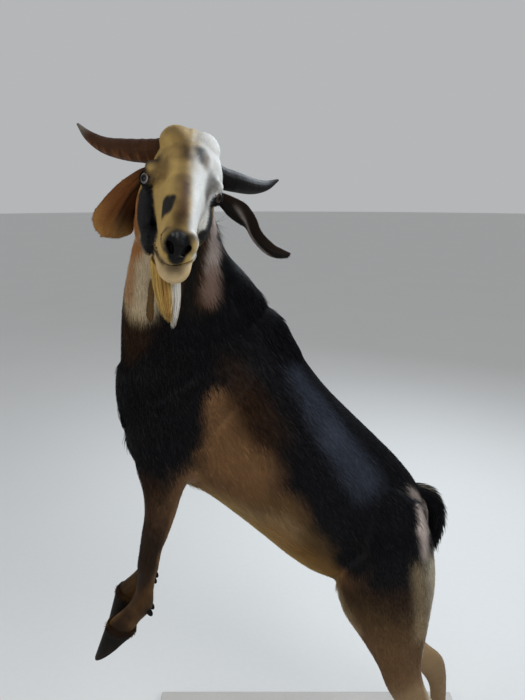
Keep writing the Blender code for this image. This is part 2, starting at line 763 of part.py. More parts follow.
def surface_locks(thing, spots, size, sink, chance):
    # spots: a point near the skin, the lie of the hair there, and how far the lock stands off
    locks = []
    for near, lie, lift in spots:
        found, place, normal, face = thing.closest_point_on_mesh(Vector(near))
        lie = Vector(lie)
        lie = (lie - normal * lie.dot(normal)).normalized()
        stray = normal.cross(lie) * chance.uniform(-0.22, 0.22)
        way = lie + normal * (lift + chance.uniform(-0.04, 0.04)) + stray
        locks.append(lock(place, way, normal, varied(size, chance), normal * (-0.6 * lift), sink))
    return locks


def withers_spots(chance):
    # three rows down the nape and over the withers, lying backwards
    ridge = ((-0.116, 1.246), (-0.104, 1.228), (-0.091, 1.208), (-0.080, 1.188), (-0.069, 1.166))
    spots = []
    for i, (x, z) in enumerate(ridge):
        for y in ((-0.030, 0.030) if i % 2 else (-0.052, 0.0, 0.052)):
            spots.append(((x - abs(y) * 0.3, y + chance.uniform(-0.004, 0.004), z), (0.45, 0, -0.89), 0.26))
    return spots


def breast_spots():
    # long hair on the front of the breast and before the elbows, lying down and back
    rows = ((-0.436, 1.030, 0.028), (-0.424, 0.985, 0.050), (-0.410, 0.950, 0.022), (-0.392, 0.925, 0.060))
    return [((x, side * y, z), (0.30, 0, -0.95), 0.48) for x, z, y in rows for side in (-1, 1)]


def belly_spots():
    # the tuft at the sheath, hanging down
    places = ((-0.132, -0.008, 0.742), (-0.118, 0.008, 0.735), (-0.102, -0.006, 0.720), (-0.090, 0.008, 0.706))
    return [(place, (0.75, 0, -0.65), 0.62) for place in places]


def dewclaws(rows, row):
    # the two small claws behind a fetlock
    back = Vector(rows[row][3:6])
    pieces = []
    for side in (-1, 1):
        place = back + Vector((0.002, side * 0.0125, -0.006))
        pieces.append(ball("dewclaw", place, (0.0075, 0.0070, 0.0110), segments=8, rings=6))
    return pieces


def finish_leg(leg, rows, coronet, fetlock):
    # ends the leg at its coronet and gives it its dewclaws
    point, outward = coronet_plane(coronet)
    cut_away(leg, [room("below", point, outward, sideways, 0.1, 0.12, 0.16)])
    return fuse_onto(leg, dewclaws(rows, fetlock))


def shoulders_and_hips():
    pieces = []
    blade = (Vector((-0.80, 0, -0.60)), Vector((0, 1, 0)), Vector((-0.60, 0, 0.80)))
    haunch = (Vector((0.55, 0, -0.84)), Vector((0, 1, 0)), Vector((0.84, 0, 0.55)))
    for side in (-1, 1):
        pieces.append(ball("shoulder", Vector((-0.255, side * 0.078, 1.045)), (0.160, 0.046, 0.090), blade))
        pieces.append(ball("point of shoulder", Vector((-0.352, side * 0.068, 0.990)), (0.056, 0.044, 0.060)))
        pieces.append(ball("hip", Vector((0.122, side * 0.070, 0.765)), (0.140, 0.052, 0.100), haunch))
    return pieces


def base(name):
    work = bmesh.new()
    bmesh.ops.create_cube(work, size=1.0)
    for v in work.verts:
        v.co.x *= base_length
        v.co.y *= base_width
        v.co.z = (v.co.z + 0.5) * base_thickness
    bmesh.ops.bevel(work, geom=work.edges[:], offset=base_edge, segments=2, profile=0.5, affect="EDGES")
    mesh = bpy.data.meshes.new(name)
    work.to_mesh(mesh)
    work.free()
    return face_outward(link(name, mesh))


def material(name, colour, roughness):
    finish = bpy.data.materials.new(name)
    finish.use_nodes = True
    shader = finish.node_tree.nodes["Principled BSDF"]
    shader.inputs["Base Color"].default_value = (*colour, 1)
    shader.inputs["Roughness"].default_value = roughness
    return finish


def dress(things):
    finishes = {
        "black_coat": material("black_coat", (0.012, 0.012, 0.016), 0.55),
        "tan_coat": material("tan_coat", (0.16, 0.085, 0.040), 0.65),
        "pale_coat": material("pale_coat", (0.62, 0.52, 0.36), 0.65),
        "rusty_coat": material("rusty_coat", (0.26, 0.10, 0.030), 0.65),
        "horn": material("horn", (0.045, 0.028, 0.018), 0.45),
        "hoof": material("hoof", (0.020, 0.016, 0.013), 0.40),
        "eye": material("eye", (0.055, 0.022, 0.006), 0.05),
        "stand": material("stand", (0.42, 0.41, 0.39), 0.55),
    }
    look = {"head": "pale_coat", "neck": "pale_coat", "ear_right": "rusty_coat", "wattle_left": "pale_coat",
            "wattle_right": "tan_coat", "scrotum": "tan_coat", "stand_base": "stand"}
    for thing in things:
        key = look.get(thing.name)
        if thing.name.startswith(("hoof", "horn", "eye")):
            key = thing.name.split("_")[0]
        if thing.name.startswith(("foreleg", "hindleg")):
            key = "tan_coat"
        thing.data.materials.clear()
        thing.data.materials.append(finishes[key or "black_coat"])
        thing.data.shade_smooth()
        thing.data.set_sharp_from_angle(angle=math.radians(50))


def legs_table():
    # per leg: its rows, its coronet and sole, and the row of its fetlock
    table = {}
    for name, rows, ends, fetlock, side, far in (
            ("hindleg_left", hind_rows, [hind_coronet, hind_sole], hind_fetlock, -1, {}),
            ("hindleg_right", hind_rows, [hind_coronet, hind_sole], hind_fetlock, 1, far_hind),
            ("foreleg_left", fore_rows, [fore_coronet, fore_sole], fore_fetlock, -1, {}),
            ("foreleg_right", far_fore_rows, [far_fore_coronet, far_fore_sole], fore_fetlock, 1, far_fore)):
        table[name] = (upright_rows(rows, side, **far), upright_rows(ends, side, **far), fetlock)
    return table


def main():
    clear_scene()
    legs = legs_table()
    trunk_table = [(a, 0, b, c, 0, d, half) for a, b, c, d, half in trunk_rows]
    trunk = limb("trunk", trunk_table, 42, 28, -0.10)
    neck_flesh = limb("neck flesh", neck_rows, 30, 24, -0.08)
    leg_tubes = [limb(name, legs[name][0], 3 * len(legs[name][0]), 20) for name in legs]
    muscle = shoulders_and_hips()
    skull = head_pieces()
    torso = fused("torso", [trunk, neck_flesh, *leg_tubes, *muscle, *skull[:2]],
                  body_voxel, 8, body_triangles)
    head_flesh = fused("head flesh", [neck_flesh, *skull], head_voxel, 4, head_triangles)
    remove([trunk, neck_flesh, *leg_tubes, *muscle, *skull])

    # The flesh is parted by planes: neck root, throat, elbows and stifles
    neck_root = Vector((-0.283, 0, 1.195))
    throat = Vector((-0.288, -0.085, 1.425))
    throat_way = Vector((0.30, -0.55, 0.78))
    elbow = Vector((-0.3875, 0, 0.850))
    stifle = Vector((0.190, 0, 0.574))
    neck = part_off(torso, "neck", neck_root, Vector((-0.44, 0, 0.90)), sideways, 0.60, 0.70, 0.90)
    head = copy_of(head_flesh, "head")
    spare = part_off(neck, "spare", throat, throat_way, sideways, 0.45, 0.60, 0.60)
    beyond = room("beyond", throat, throat_way, sideways, 0.45, 0.60, 0.60)
    boolean(head, beyond, "INTERSECT")
    keep_largest(head)
    remove([spare, beyond, head_flesh])
    forelegs = part_off(torso, "forelegs", elbow, Vector((-0.10, 0, -1)), sideways, 0.45, 0.50, 0.225)
    hindlegs = part_off(torso, "hindlegs", stifle, Vector((0.04, 0, -1)), sideways, 0.60, 0.50, 0.52)
    pairs = two_pieces(forelegs, ("foreleg_left", "foreleg_right"))
    pairs += two_pieces(hindlegs, ("hindleg_left", "hindleg_right"))

    for leg in pairs:
        rows, (coronet, sole), fetlock = legs[leg.name]
        finish_leg(leg, rows, coronet, fetlock)
        for hoof_side, word in ((-1, "a"), (1, "b")):
            claw(leg.name.replace("foreleg", "hoof_fore").replace("hindleg", "hoof_hind") + "_" + word,
                 coronet, sole, hoof_side)

    finish_head(head)
    chance = random.Random(lock_seed)
    fuse_onto(head, beard_locks(chance))
    torso_locks = surface_locks(torso, withers_spots(chance), ruff_lock, 0.010, chance)
    torso_locks += surface_locks(torso, breast_spots(), tuft_lock, 0.008, chance)
    torso_locks += surface_locks(torso, belly_spots(), tuft_lock, 0.008, chance)
    fuse_onto(torso, torso_locks)
    for side, word, ear_rows, horn_rows, wattle_rows in (
            (-1, "right", right_ear_rows, right_horn_rows, right_wattle_rows),
            (1, "left", left_ear_rows, left_horn_rows, left_wattle_rows)):
        look, slant, across = eye_axes(side)
        ball("eye_" + word, on_head(*eye_places[word]), [eye_radius] * 3, (slant, across, look), 14, 9)
        set_against(horn("horn_" + word, side, horn_rows), [head])
        set_against(ear("ear_" + word, side, ear_rows), [head])
        set_against(round_strand("wattle_" + word, wattle_rows, 12, 8), [neck])
    tail = fuse_onto(tail_core("tail"), tail_locks(chance))
    set_against(tail, [torso])
    set_against(round_strand("scrotum", scrotum_rows, 12, 12), [torso, *pairs])
    base("stand_base")
    dress([thing for thing in bpy.data.objects if thing.type == "MESH"])


main()
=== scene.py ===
# A life-size billy goat, rearing: its hide, coat, horns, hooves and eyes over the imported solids.
# Metres, +Z up. The goat faces -X with its left side towards -Y, and its head turned to the camera.

import math

import bpy
import numpy as np
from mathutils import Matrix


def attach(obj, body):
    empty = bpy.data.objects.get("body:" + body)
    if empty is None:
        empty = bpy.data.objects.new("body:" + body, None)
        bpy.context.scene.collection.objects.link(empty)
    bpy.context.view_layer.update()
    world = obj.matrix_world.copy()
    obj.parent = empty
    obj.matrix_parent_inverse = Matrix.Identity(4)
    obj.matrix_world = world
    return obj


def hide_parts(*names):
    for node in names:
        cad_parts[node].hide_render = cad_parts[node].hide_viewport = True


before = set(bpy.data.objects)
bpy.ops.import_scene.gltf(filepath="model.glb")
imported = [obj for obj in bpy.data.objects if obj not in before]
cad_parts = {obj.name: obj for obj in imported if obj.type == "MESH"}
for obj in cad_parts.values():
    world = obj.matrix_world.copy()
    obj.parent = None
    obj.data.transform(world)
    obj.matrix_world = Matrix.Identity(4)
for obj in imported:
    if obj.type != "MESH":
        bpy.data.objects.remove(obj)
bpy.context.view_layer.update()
print("frame:", len(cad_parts), "nodes")

headPlace = {
    "poll": (-0.249, -0.150, 1.539),
    "yaw": 7.0,      # degrees off square to the camera
    "dip": 21.0,     # degrees below level
    "roll": 15.4,    # degrees about its own length
}

eyePlace = {
    "left": (0.0965, 0.0455, -0.035),    # forward, left and up from the poll
    "right": (0.0975, -0.0520, -0.034),
    "look": (0.64, 0.74, 0.22),          # forward, out, up
    "radius": 0.0140,
    "lid": 0.0022,
    "gap": 0.0002,
    "opening": (0.0118, 0.0085, 0.0080),
}

flesh = {
    "bodyVoxel": 0.0036,
    "bodyRounds": 26,
    "bodyFaces": 90000,
    "headVoxel": 0.0017,
    "headRounds": 18,
    "headFaces": 80000,
    "throat": (-0.288, -0.085, 1.425),
    "throatWay": (0.30, -0.55, 0.78),
    "overlap": 0.012,
}

# Trunk, from the buttocks to the breast: back x z, belly x z, half width
trunkRows = [
    (0.238, 0.745, 0.205, 0.672, 0.04), (0.23, 0.806, 0.13, 0.645, 0.08),
    (0.202, 0.862, 0.045, 0.628, 0.102), (0.162, 0.912, -0.018, 0.648, 0.12),
    (0.112, 0.963, -0.078, 0.694, 0.136), (0.06, 1.014, -0.134, 0.748, 0.146),
    (0.006, 1.07, -0.196, 0.803, 0.146), (-0.04, 1.13, -0.262, 0.852, 0.136),
    (-0.072, 1.188, -0.335, 0.886, 0.124), (-0.105, 1.236, -0.398, 0.938, 0.112),
    (-0.144, 1.262, -0.434, 1.03, 0.098), (-0.187, 1.266, -0.432, 1.115, 0.078),
    (-0.235, 1.255, -0.4, 1.165, 0.045),
]

# Neck, from the chest into the head: throat x y z, nape x y z, half width
neckRows = [
    (-0.42, 0, 1.06, -0.12, 0, 1.18, 0.09),
    (-0.42, -0.005, 1.16, -0.124, 0, 1.254, 0.088),
    (-0.408, -0.022, 1.25, -0.152, -0.015, 1.3, 0.078),
    (-0.388, -0.05, 1.32, -0.194, -0.035, 1.35, 0.067),
    (-0.364, -0.082, 1.38, -0.214, -0.058, 1.41, 0.059),
    (-0.338, -0.112, 1.425, -0.222, -0.08, 1.475, 0.054),
    (-0.308, -0.14, 1.455, -0.232, -0.096, 1.52, 0.047),
]

# Legs: front x z, back x z, middle y, half width
hindRows = [
    (0.095, 0.84, 0.205, 0.84, 0.058, 0.03), (0.048, 0.755, 0.228, 0.768, 0.076, 0.052),
    (0.028, 0.665, 0.24, 0.675, 0.086, 0.06), (0.046, 0.59, 0.235, 0.59, 0.091, 0.053),
    (0.088, 0.52, 0.229, 0.515, 0.092, 0.043), (0.126, 0.448, 0.226, 0.45, 0.09, 0.034),
    (0.15, 0.385, 0.237, 0.395, 0.09, 0.029), (0.178, 0.335, 0.257, 0.35, 0.09, 0.028),
    (0.197, 0.295, 0.277, 0.314, 0.09, 0.028), (0.207, 0.252, 0.271, 0.262, 0.09, 0.023),
    (0.214, 0.205, 0.262, 0.208, 0.09, 0.0195), (0.219, 0.15, 0.262, 0.15, 0.09, 0.0185),
    (0.219, 0.116, 0.266, 0.108, 0.09, 0.023), (0.204, 0.093, 0.248, 0.078, 0.09, 0.021),
    (0.188, 0.073, 0.238, 0.055, 0.09, 0.0245), (0.174, 0.055, 0.228, 0.036, 0.09, 0.0245),
]
hindEnds = [(0.19, 0.075, 0.239, 0.057, 0.09, 0.0245), (0.154, 0.0303, 0.23, 0.0303, 0.09, 0.0265)]
farHind = {"shift": 0.102, "drop": 0.022, "shiftFrom": 0.50, "shiftTo": 0.17}
foreRows = [
    (-0.342, 1.12, -0.245, 1.125, 0.06, 0.028), (-0.396, 1.02, -0.232, 1.005, 0.08, 0.042),
    (-0.386, 0.945, -0.262, 0.93, 0.089, 0.045), (-0.373, 0.885, -0.29, 0.884, 0.092, 0.038),
    (-0.373, 0.835, -0.307, 0.83, 0.092, 0.032), (-0.383, 0.78, -0.328, 0.772, 0.093, 0.027),
    (-0.389, 0.745, -0.344, 0.738, 0.094, 0.025), (-0.394, 0.716, -0.348, 0.71, 0.095, 0.027),
    (-0.396, 0.685, -0.356, 0.68, 0.095, 0.022), (-0.402, 0.65, -0.362, 0.643, 0.095, 0.019),
    (-0.414, 0.62, -0.367, 0.604, 0.095, 0.023), (-0.436, 0.594, -0.394, 0.572, 0.095, 0.021),
    (-0.458, 0.574, -0.409, 0.548, 0.095, 0.0245), (-0.478, 0.554, -0.424, 0.524, 0.095, 0.0245),
]
foreEnds = [(-0.47, 0.561, -0.408, 0.541, 0.095, 0.0245), (-0.502, 0.474, -0.436, 0.52, 0.095, 0.0265)]
farForeRows = foreRows[:2] + [
    (-0.394, 0.945, -0.276, 0.93, 0.089, 0.043), (-0.388, 0.885, -0.31, 0.886, 0.092, 0.036),
    (-0.386, 0.835, -0.324, 0.834, 0.092, 0.031), (-0.387, 0.785, -0.335, 0.778, 0.093, 0.027),
    (-0.386, 0.75, -0.34, 0.743, 0.094, 0.025), (-0.392, 0.724, -0.345, 0.717, 0.095, 0.027),
    (-0.395, 0.7, -0.354, 0.694, 0.095, 0.022), (-0.4, 0.676, -0.36, 0.668, 0.095, 0.019),
    (-0.412, 0.652, -0.368, 0.636, 0.095, 0.023), (-0.434, 0.63, -0.394, 0.605, 0.095, 0.021),
    (-0.456, 0.61, -0.414, 0.582, 0.095, 0.0245), (-0.472, 0.592, -0.432, 0.56, 0.095, 0.0245),
]
farForeEnds = [(-0.46, 0.604, -0.418, 0.578, 0.095, 0.0245), (-0.486, 0.512, -0.438, 0.544, 0.095, 0.026)]
farFore = {"lean": -0.128, "shiftFrom": 0.95, "shiftTo": 0.62}

# Skull and jaw, along the head: forward, top, bottom, half width, middle
skullRows = [
    (-0.05, -0.034, -0.075, 0.03, 0.002), (-0.034, -0.01, -0.092, 0.045, 0.003),
    (-0.012, 0.01, -0.104, 0.054, 0.003), (0.018, 0.023, -0.112, 0.062, 0.005),
    (0.05, 0.024, -0.118, 0.063, 0.005), (0.08, 0.016, -0.117, 0.059, 0.002),
    (0.11, 0.007, -0.112, 0.049, -0.002), (0.14, 0.001, -0.106, 0.04, -0.004),
    (0.17, -0.004, -0.1, 0.0335, -0.0055), (0.2, -0.01, -0.096, 0.0295, -0.0055),
    (0.228, -0.019, -0.093, 0.027, -0.005), (0.25, -0.031, -0.089, 0.0245, -0.0045),
    (0.264, -0.048, -0.08, 0.017, -0.003),
]
jawRows = [
    (0.02, -0.06, -0.118, 0.036, 0.002), (0.06, -0.06, -0.128, 0.041, 0.001),
    (0.1, -0.06, -0.129, 0.039, -0.001), (0.14, -0.06, -0.127, 0.035, -0.002),
    (0.175, -0.062, -0.123, 0.032, -0.002), (0.205, -0.064, -0.121, 0.0275, -0.0015),
    (0.228, -0.067, -0.121, 0.024, -0.001), (0.245, -0.07, -0.117, 0.0205, -0.0005),
    (0.256, -0.075, -0.107, 0.013, 0),
]

# Horns: forward, out, up, radius, from the root to the tip
hornRows = {
    "right": [
        (0.01, 0.026, -0.012, 0.0215), (0, 0.06, -0.025, 0.02), (-0.02, 0.096, -0.039, 0.018),
        (-0.047, 0.13, -0.05, 0.014), (-0.074, 0.159, -0.051, 0.009), (-0.095, 0.182, -0.043, 0.0022),
    ],
    "left": [
        (0.01, 0.026, -0.019, 0.0205), (0, 0.06, -0.035, 0.0195), (-0.02, 0.096, -0.043, 0.018),
        (-0.047, 0.13, -0.051, 0.0145), (-0.074, 0.159, -0.052, 0.009), (-0.095, 0.182, -0.043, 0.0022),
    ],
}

# Ears: front edge and back edge, each forward, out, up; then the depth of the cup
earRows = {
    "left": [
        (0.046, 0.042, -0.042, 0.026, 0.048, -0.064, 0),
        (0.048, 0.066, -0.046, 0.022, 0.072, -0.078, 0.006),
        (0.054, 0.088, -0.049, 0.01, 0.092, -0.097, 0.01), (0.06, 0.106, -0.054, 0, 0.115, -0.11, 0.013),
        (0.06, 0.122, -0.069, -0.008, 0.137, -0.117, 0.014),
        (0.05, 0.144, -0.096, -0.004, 0.156, -0.134, 0.012),
        (0.038, 0.178, -0.117, 0.006, 0.174, -0.148, 0.008),
        (0.03, 0.2, -0.124, 0.014, 0.197, -0.15, 0.005), (0.024, 0.218, -0.128, 0.02, 0.216, -0.14, 0),
    ],
    "right": [
        (0.026, 0.04, -0.036, 0.034, 0.042, -0.056, 0),
        (0.028, 0.062, -0.043, 0.034, 0.055, -0.068, 0.006),
        (0.034, 0.078, -0.057, 0.034, 0.058, -0.082, 0.01),
        (0.04, 0.097, -0.078, 0.039, 0.061, -0.098, 0.013),
        (0.048, 0.114, -0.104, 0.046, 0.06, -0.118, 0.015),
        (0.052, 0.126, -0.132, 0.05, 0.06, -0.135, 0.013),
        (0.053, 0.122, -0.152, 0.052, 0.062, -0.15, 0.008), (0.052, 0.108, -0.166, 0.052, 0.08, -0.162, 0),
    ],
}

# Wattles and scrotum: x y z down their middle line, radius
wattleRows = {
    "left": [
        (-0.276, -0.085, 1.325, 0.0045), (-0.275, -0.11, 1.312, 0.005), (-0.28, -0.122, 1.284, 0.0055),
        (-0.286, -0.124, 1.254, 0.0066), (-0.288, -0.123, 1.238, 0.0036),
    ],
    "right": [
        (-0.326, -0.085, 1.32, 0.0045), (-0.328, -0.11, 1.308, 0.005), (-0.33, -0.122, 1.282, 0.0055),
        (-0.332, -0.124, 1.259, 0.0064), (-0.332, -0.123, 1.245, 0.0036),
    ],
}
scrotumRows = [
    (0.152, 0, 0.668, 0.018), (0.146, 0, 0.62, 0.02), (0.139, 0, 0.578, 0.03), (0.135, 0, 0.545, 0.033),
    (0.134, 0, 0.52, 0.024), (0.134, 0, 0.508, 0.008),
]

# Tail: x z down its middle line, half thickness, half width
tailRows = [
    (0.19, 0.842, 0.014, 0.018), (0.228, 0.826, 0.019, 0.02), (0.248, 0.797, 0.024, 0.022),
    (0.255, 0.76, 0.023, 0.021), (0.252, 0.722, 0.016, 0.015), (0.248, 0.702, 0.004, 0.005),
]


down = np.array([0, 0, -1.0])
acrossBody = np.array([[0, 1.0, 0]])


def unit(arrows):
    # arrows divided by their own lengths
    return arrows / np.maximum(np.linalg.norm(arrows, axis=-1, keepdims=True), 1e-12)


def laidOn(ways, normals):
    # ways less their part along the normals, with length one
    return unit(ways - normals * (ways * normals).sum(axis=1, keepdims=True))


def roundTurns(sides):
    # evenly spaced angles round a ring
    return np.linspace(0, 2 * np.pi, sides, endpoint=False)


def ringsAbout(centre, first, second, wide, high):
    # rings of places: centre + first * wide + second * high
    return centre[:, None, :] + first[:, None, :] * wide[:, :, None] + second[:, None, :] * high[:, :, None]


def headTurn(place):
    # the head's forward, left and up: a level heading, dipped, then rolled about itself
    yaw, dip, roll = (math.radians(place[key]) for key in ("yaw", "dip", "roll"))
    level = np.array([math.sin(yaw), -math.cos(yaw), 0.0])
    up = np.array([0.0, 0.0, 1.0])
    forward = level * math.cos(dip) - up * math.sin(dip)
    rise = level * math.sin(dip) + up * math.cos(dip)
    left = np.cross(rise, forward)
    return np.array([forward, left * math.cos(roll) - rise * math.sin(roll),
                     rise * math.cos(roll) + left * math.sin(roll)])


headAxes = headTurn(headPlace)
poll = np.array(headPlace["poll"])


def onHead(places):
    # head places (forward, left, up) as world points: poll plus the places times the head's axes
    return poll + np.asarray(places, float) @ headAxes


def toHead(points):
    # world points as head places: the offset from the poll along each of the head's axes
    return (points - poll) @ headAxes.T


def smoothRows(rows, count):
    # a Catmull-Rom curve through the rows, read at evenly spaced places
    table = np.array(rows, float)
    padded = np.vstack([2 * table[0] - table[1], table, 2 * table[-1] - table[-2]])
    at = np.linspace(0, len(table) - 1, count)
    index = np.minimum(at.astype(int), len(table) - 2)
    t = (at - index)[:, None]
    p0, p1, p2, p3 = (padded[index + k] for k in range(4))
    return 0.5 * (2 * p1 + (p2 - p0) * t + (2 * p0 - 5 * p1 + 4 * p2 - p3) * t**2
                  + (3 * p1 - p0 - 3 * p2 + p3) * t**3)


def softStep(low, high, value):
    # nought below low, one above high, 3t^2 - 2t^3 between
    t = np.clip((value - low) / (high - low), 0, 1)
    return t * t * (3 - 2 * t)


def outward(points, faces):
    # turns the faces round where the signed volume, the sum of a.(b x c), is below nought
    a, b, c = (points[faces[:, n]] for n in range(3))
    return faces if (a * np.cross(b, c)).sum() > 0 else faces[:, ::-1]


def tubeWalls(count, sides):
    # two triangles for each cell between one ring and the next
    i, j = np.mgrid[0:count - 1, 0:sides]
    k = (j + 1) % sides
    here, there = i * sides, (i + 1) * sides
    return np.stack([here + j, here + k, there + k, here + j, there + k, there + j], -1).reshape(-1, 3)


def closedTube(rings):
    # walls between the rings, and a fan from the middle of each end ring
    count, sides = rings.shape[:2]
    rim = np.arange(sides)
    after = (rim + 1) % sides
    last = (count - 1) * sides
    first = np.stack([np.full(sides, count * sides), after, rim], -1)
    final = np.stack([np.full(sides, count * sides + 1), last + rim, last + after], -1)
    points = np.concatenate([rings.reshape(-1, 3), rings[[0, -1]].mean(axis=1)])
    return points, outward(points, np.concatenate([tubeWalls(count, sides), first, final]))


def withEnds(tint):
    # a tube's colours, the first and last given again to the middles of its end rings
    return np.concatenate([tint, tint[[0, -1]]])


def merged(parts):
    # several (points, faces) pairs as one pair, the face numbers moved on
    starts = np.cumsum([0] + [len(points) for points, faces in parts[:-1]])
    return (np.concatenate([points for points, faces in parts]),
            np.concatenate([faces + start for start, (points, faces) in zip(starts, parts)]))


def meshObject(name, points, faces):
    # fills a mesh from whole arrays of points and triangles
    mesh = bpy.data.meshes.new(name)
    mesh.vertices.add(len(points))
    mesh.vertices.foreach_set("co", np.asarray(points, np.float32).ravel())
    mesh.loops.add(faces.size)
    mesh.loops.foreach_set("vertex_index", np.asarray(faces, np.int32).ravel())
    mesh.polygons.add(len(faces))
    mesh.polygons.foreach_set("loop_start", np.arange(0, faces.size, 3, dtype=np.int32))
    mesh.update(calc_edges=True)
    mesh.shade_smooth()
    thing = bpy.data.objects.new(name, mesh)
    bpy.context.scene.collection.objects.link(thing)
    return thing


def arraysOf(mesh):
    # a mesh's points and triangles as arrays
    mesh.calc_loop_triangles()
    points = np.empty(len(mesh.vertices) * 3, np.float32)
    mesh.vertices.foreach_get("co", points)
    faces = np.empty(len(mesh.loop_triangles) * 3, np.int32)
    mesh.loop_triangles.foreach_get("vertices", faces)
    return points.reshape(-1, 3).astype(float), faces.reshape(-1, 3)


def normalsOf(points, faces):
    # each point's normal: the sum of its faces' edge products, which weighs them by area
    a, b, c = (points[faces[:, n]] for n in range(3))
    square = np.repeat(np.cross(b - a, c - a), 3, axis=0)
    corners = faces.ravel()
    return unit(np.stack([np.bincount(corners, square[:, n], len(points)) for n in range(3)], -1))


def applied(thing):
    # the object's mesh with its modifiers worked in
    graph = bpy.context.evaluated_depsgraph_get()
    mesh = bpy.data.meshes.new_from_object(thing.evaluated_get(graph))
    thing.modifiers.clear()
    thing.data = mesh
    return thing


def largestPart(points, faces):
    # every point takes the lowest number that it is joined to; the commonest number is kept
    label = np.arange(len(points))
    pairs = np.concatenate([faces[:, [0, 1]], faces[:, [1, 2]]])
    while True:
        low = np.minimum(label[pairs[:, 0]], label[pairs[:, 1]])
        fresh = label.copy()
        np.minimum.at(fresh, pairs[:, 0], low)
        np.minimum.at(fresh, pairs[:, 1], low)
        fresh = fresh[fresh]
        if (fresh == label).all():
            break
        label = fresh
    kept = label == np.bincount(label).argmax()
    number = np.cumsum(kept) - 1
    return points[kept], number[faces[kept[faces[:, 0]]]]


def solidCut(thing, other, operation):
    # a Boolean of two closed meshes, the second one removed afterwards
    cut = thing.modifiers.new("cut", "BOOLEAN")
    cut.operation = operation
    cut.solver = "MANIFOLD"
    cut.object = other
    applied(thing)
    bpy.data.objects.remove(other, do_unlink=True)
    return thing


def limbRings(rows, count, sides, narrow=0.0):
    # rows: front x y z, back x y z, half width; each ring is an oval between front and back
    table = smoothRows(rows, count)
    front, back, half = table[:, 0:3], table[:, 3:6], table[:, 6]
    centre, reach = (front + back) / 2, (front - back) / 2
    side = unit(np.cross(np.gradient(centre, axis=0), reach))
    angle = roundTurns(sides)[None, :]
    return ringsAbout(centre, reach, side, np.cos(angle),
                      half[:, None] * (np.sin(angle) * (1 + narrow * np.cos(angle))))


def uprightRows(rows, side, shift=0.0, drop=0.0, shiftFrom=1.0, shiftTo=0.0, lean=0.0):
    # front x z, back x z, y, half width in an upright plane; lower down moved by shift and lean
    table = np.array(rows, float)
    share = softStep(0, 1, (shiftFrom - (table[:, 1] + table[:, 3]) / 2) / (shiftFrom - shiftTo))
    move, fall = shift * share, drop * np.sin(np.pi * share)
    place = side * table[:, 4] + lean * share
    return np.stack([table[:, 0] + move, place, table[:, 1] - fall,
                     table[:, 2] + move, place, table[:, 3] - fall, table[:, 5]], -1)


def ovalBall(centre, radii, axes=None, sides=36, count=26):
    # centre + axes * radii * (sin t cos p, sin t sin p, cos t)
    axes = np.eye(3) if axes is None else np.asarray(axes)
    polar = np.linspace(0.02, np.pi - 0.02, count)[:, None]
    turn = roundTurns(sides)[None, :]
    local = np.stack([np.sin(polar) * np.cos(turn), np.sin(polar) * np.sin(turn),
                      np.cos(polar) + 0 * turn], -1)
    return np.asarray(centre) + (local * np.asarray(radii)) @ axes


def headBall(place, radii):
    # the same in head places
    return ovalBall(onHead(place), radii, headAxes)


def headLoft(rows, sides, slim):
    # ovals square to the face, slimmer towards their underside by slim
    table = smoothRows(rows, 5 * len(rows))
    angle = roundTurns(sides)[None, :]
    forward, top, bottom, half, middle = (table[:, n:n + 1] for n in range(5))
    up = (top + bottom) / 2 + (top - bottom) / 2 * np.cos(angle)
    left = middle + half * np.sin(angle) * (1 + slim * (np.cos(angle) - 1) / 2)
    return onHead(np.stack([forward + 0 * angle, left, up], -1))


def headForms():
    # skull, jaw, brows, lids, cheeks, domes, nostril wings, lips and chin
    forms = [headLoft(skullRows, 64, 0.20), headLoft(jawRows, 48, -0.10)]
    lid = eyePlace["radius"] + eyePlace["lid"]
    for word, side in (("left", 1), ("right", -1)):
        forward, left, up = eyePlace[word]
        forms += [
            headBall((forward - 0.014, left - side * 0.003, up + 0.002), (0.028, 0.015, 0.024)),
            headBall((forward - 0.006, left + side * 0.003, up + 0.017), (0.018, 0.009, 0.007)),
            headBall((forward, left, up), (lid, lid, lid)),
            headBall((0.072, side * 0.0380 - 0.0050, -0.080), (0.088, 0.0225, 0.040)),
            headBall((0.012, side * 0.0200 + 0.0010, 0.003), (0.046, 0.030, 0.0270)),
            headBall((0.249, side * 0.0140 - 0.003, -0.050), (0.015, 0.012, 0.018)),
            headBall((0.236, side * 0.0130 - 0.0015, -0.069), (0.026, 0.0135, 0.0110)),
        ]
    return forms + [headBall((0.235, 0, -0.102), (0.021, 0.021, 0.017)),
                    headBall((0.008, 0.001, 0.008), (0.044, 0.016, 0.021)),
                    headBall((0.038, -0.040, -0.116), (0.062, 0.024, 0.050)),
                    headBall((0.125, -0.0360, -0.103), (0.062, 0.0145, 0.028))]


def bodyMuscles():
    # shoulder blades, points of the shoulders and hips
    blade = [(-0.80, 0, -0.60), (0, 1, 0), (-0.60, 0, 0.80)]
    haunch = [(0.55, 0, -0.84), (0, 1, 0), (0.84, 0, 0.55)]
    forms = []
    for side in (-1, 1):
        forms += [ovalBall((-0.255, side * 0.078, 1.045), (0.160, 0.046, 0.090), blade),
                  ovalBall((-0.352, side * 0.068, 0.990), (0.056, 0.044, 0.060)),
                  ovalBall((0.122, side * 0.070, 0.765), (0.140, 0.052, 0.100), haunch)]
    return forms


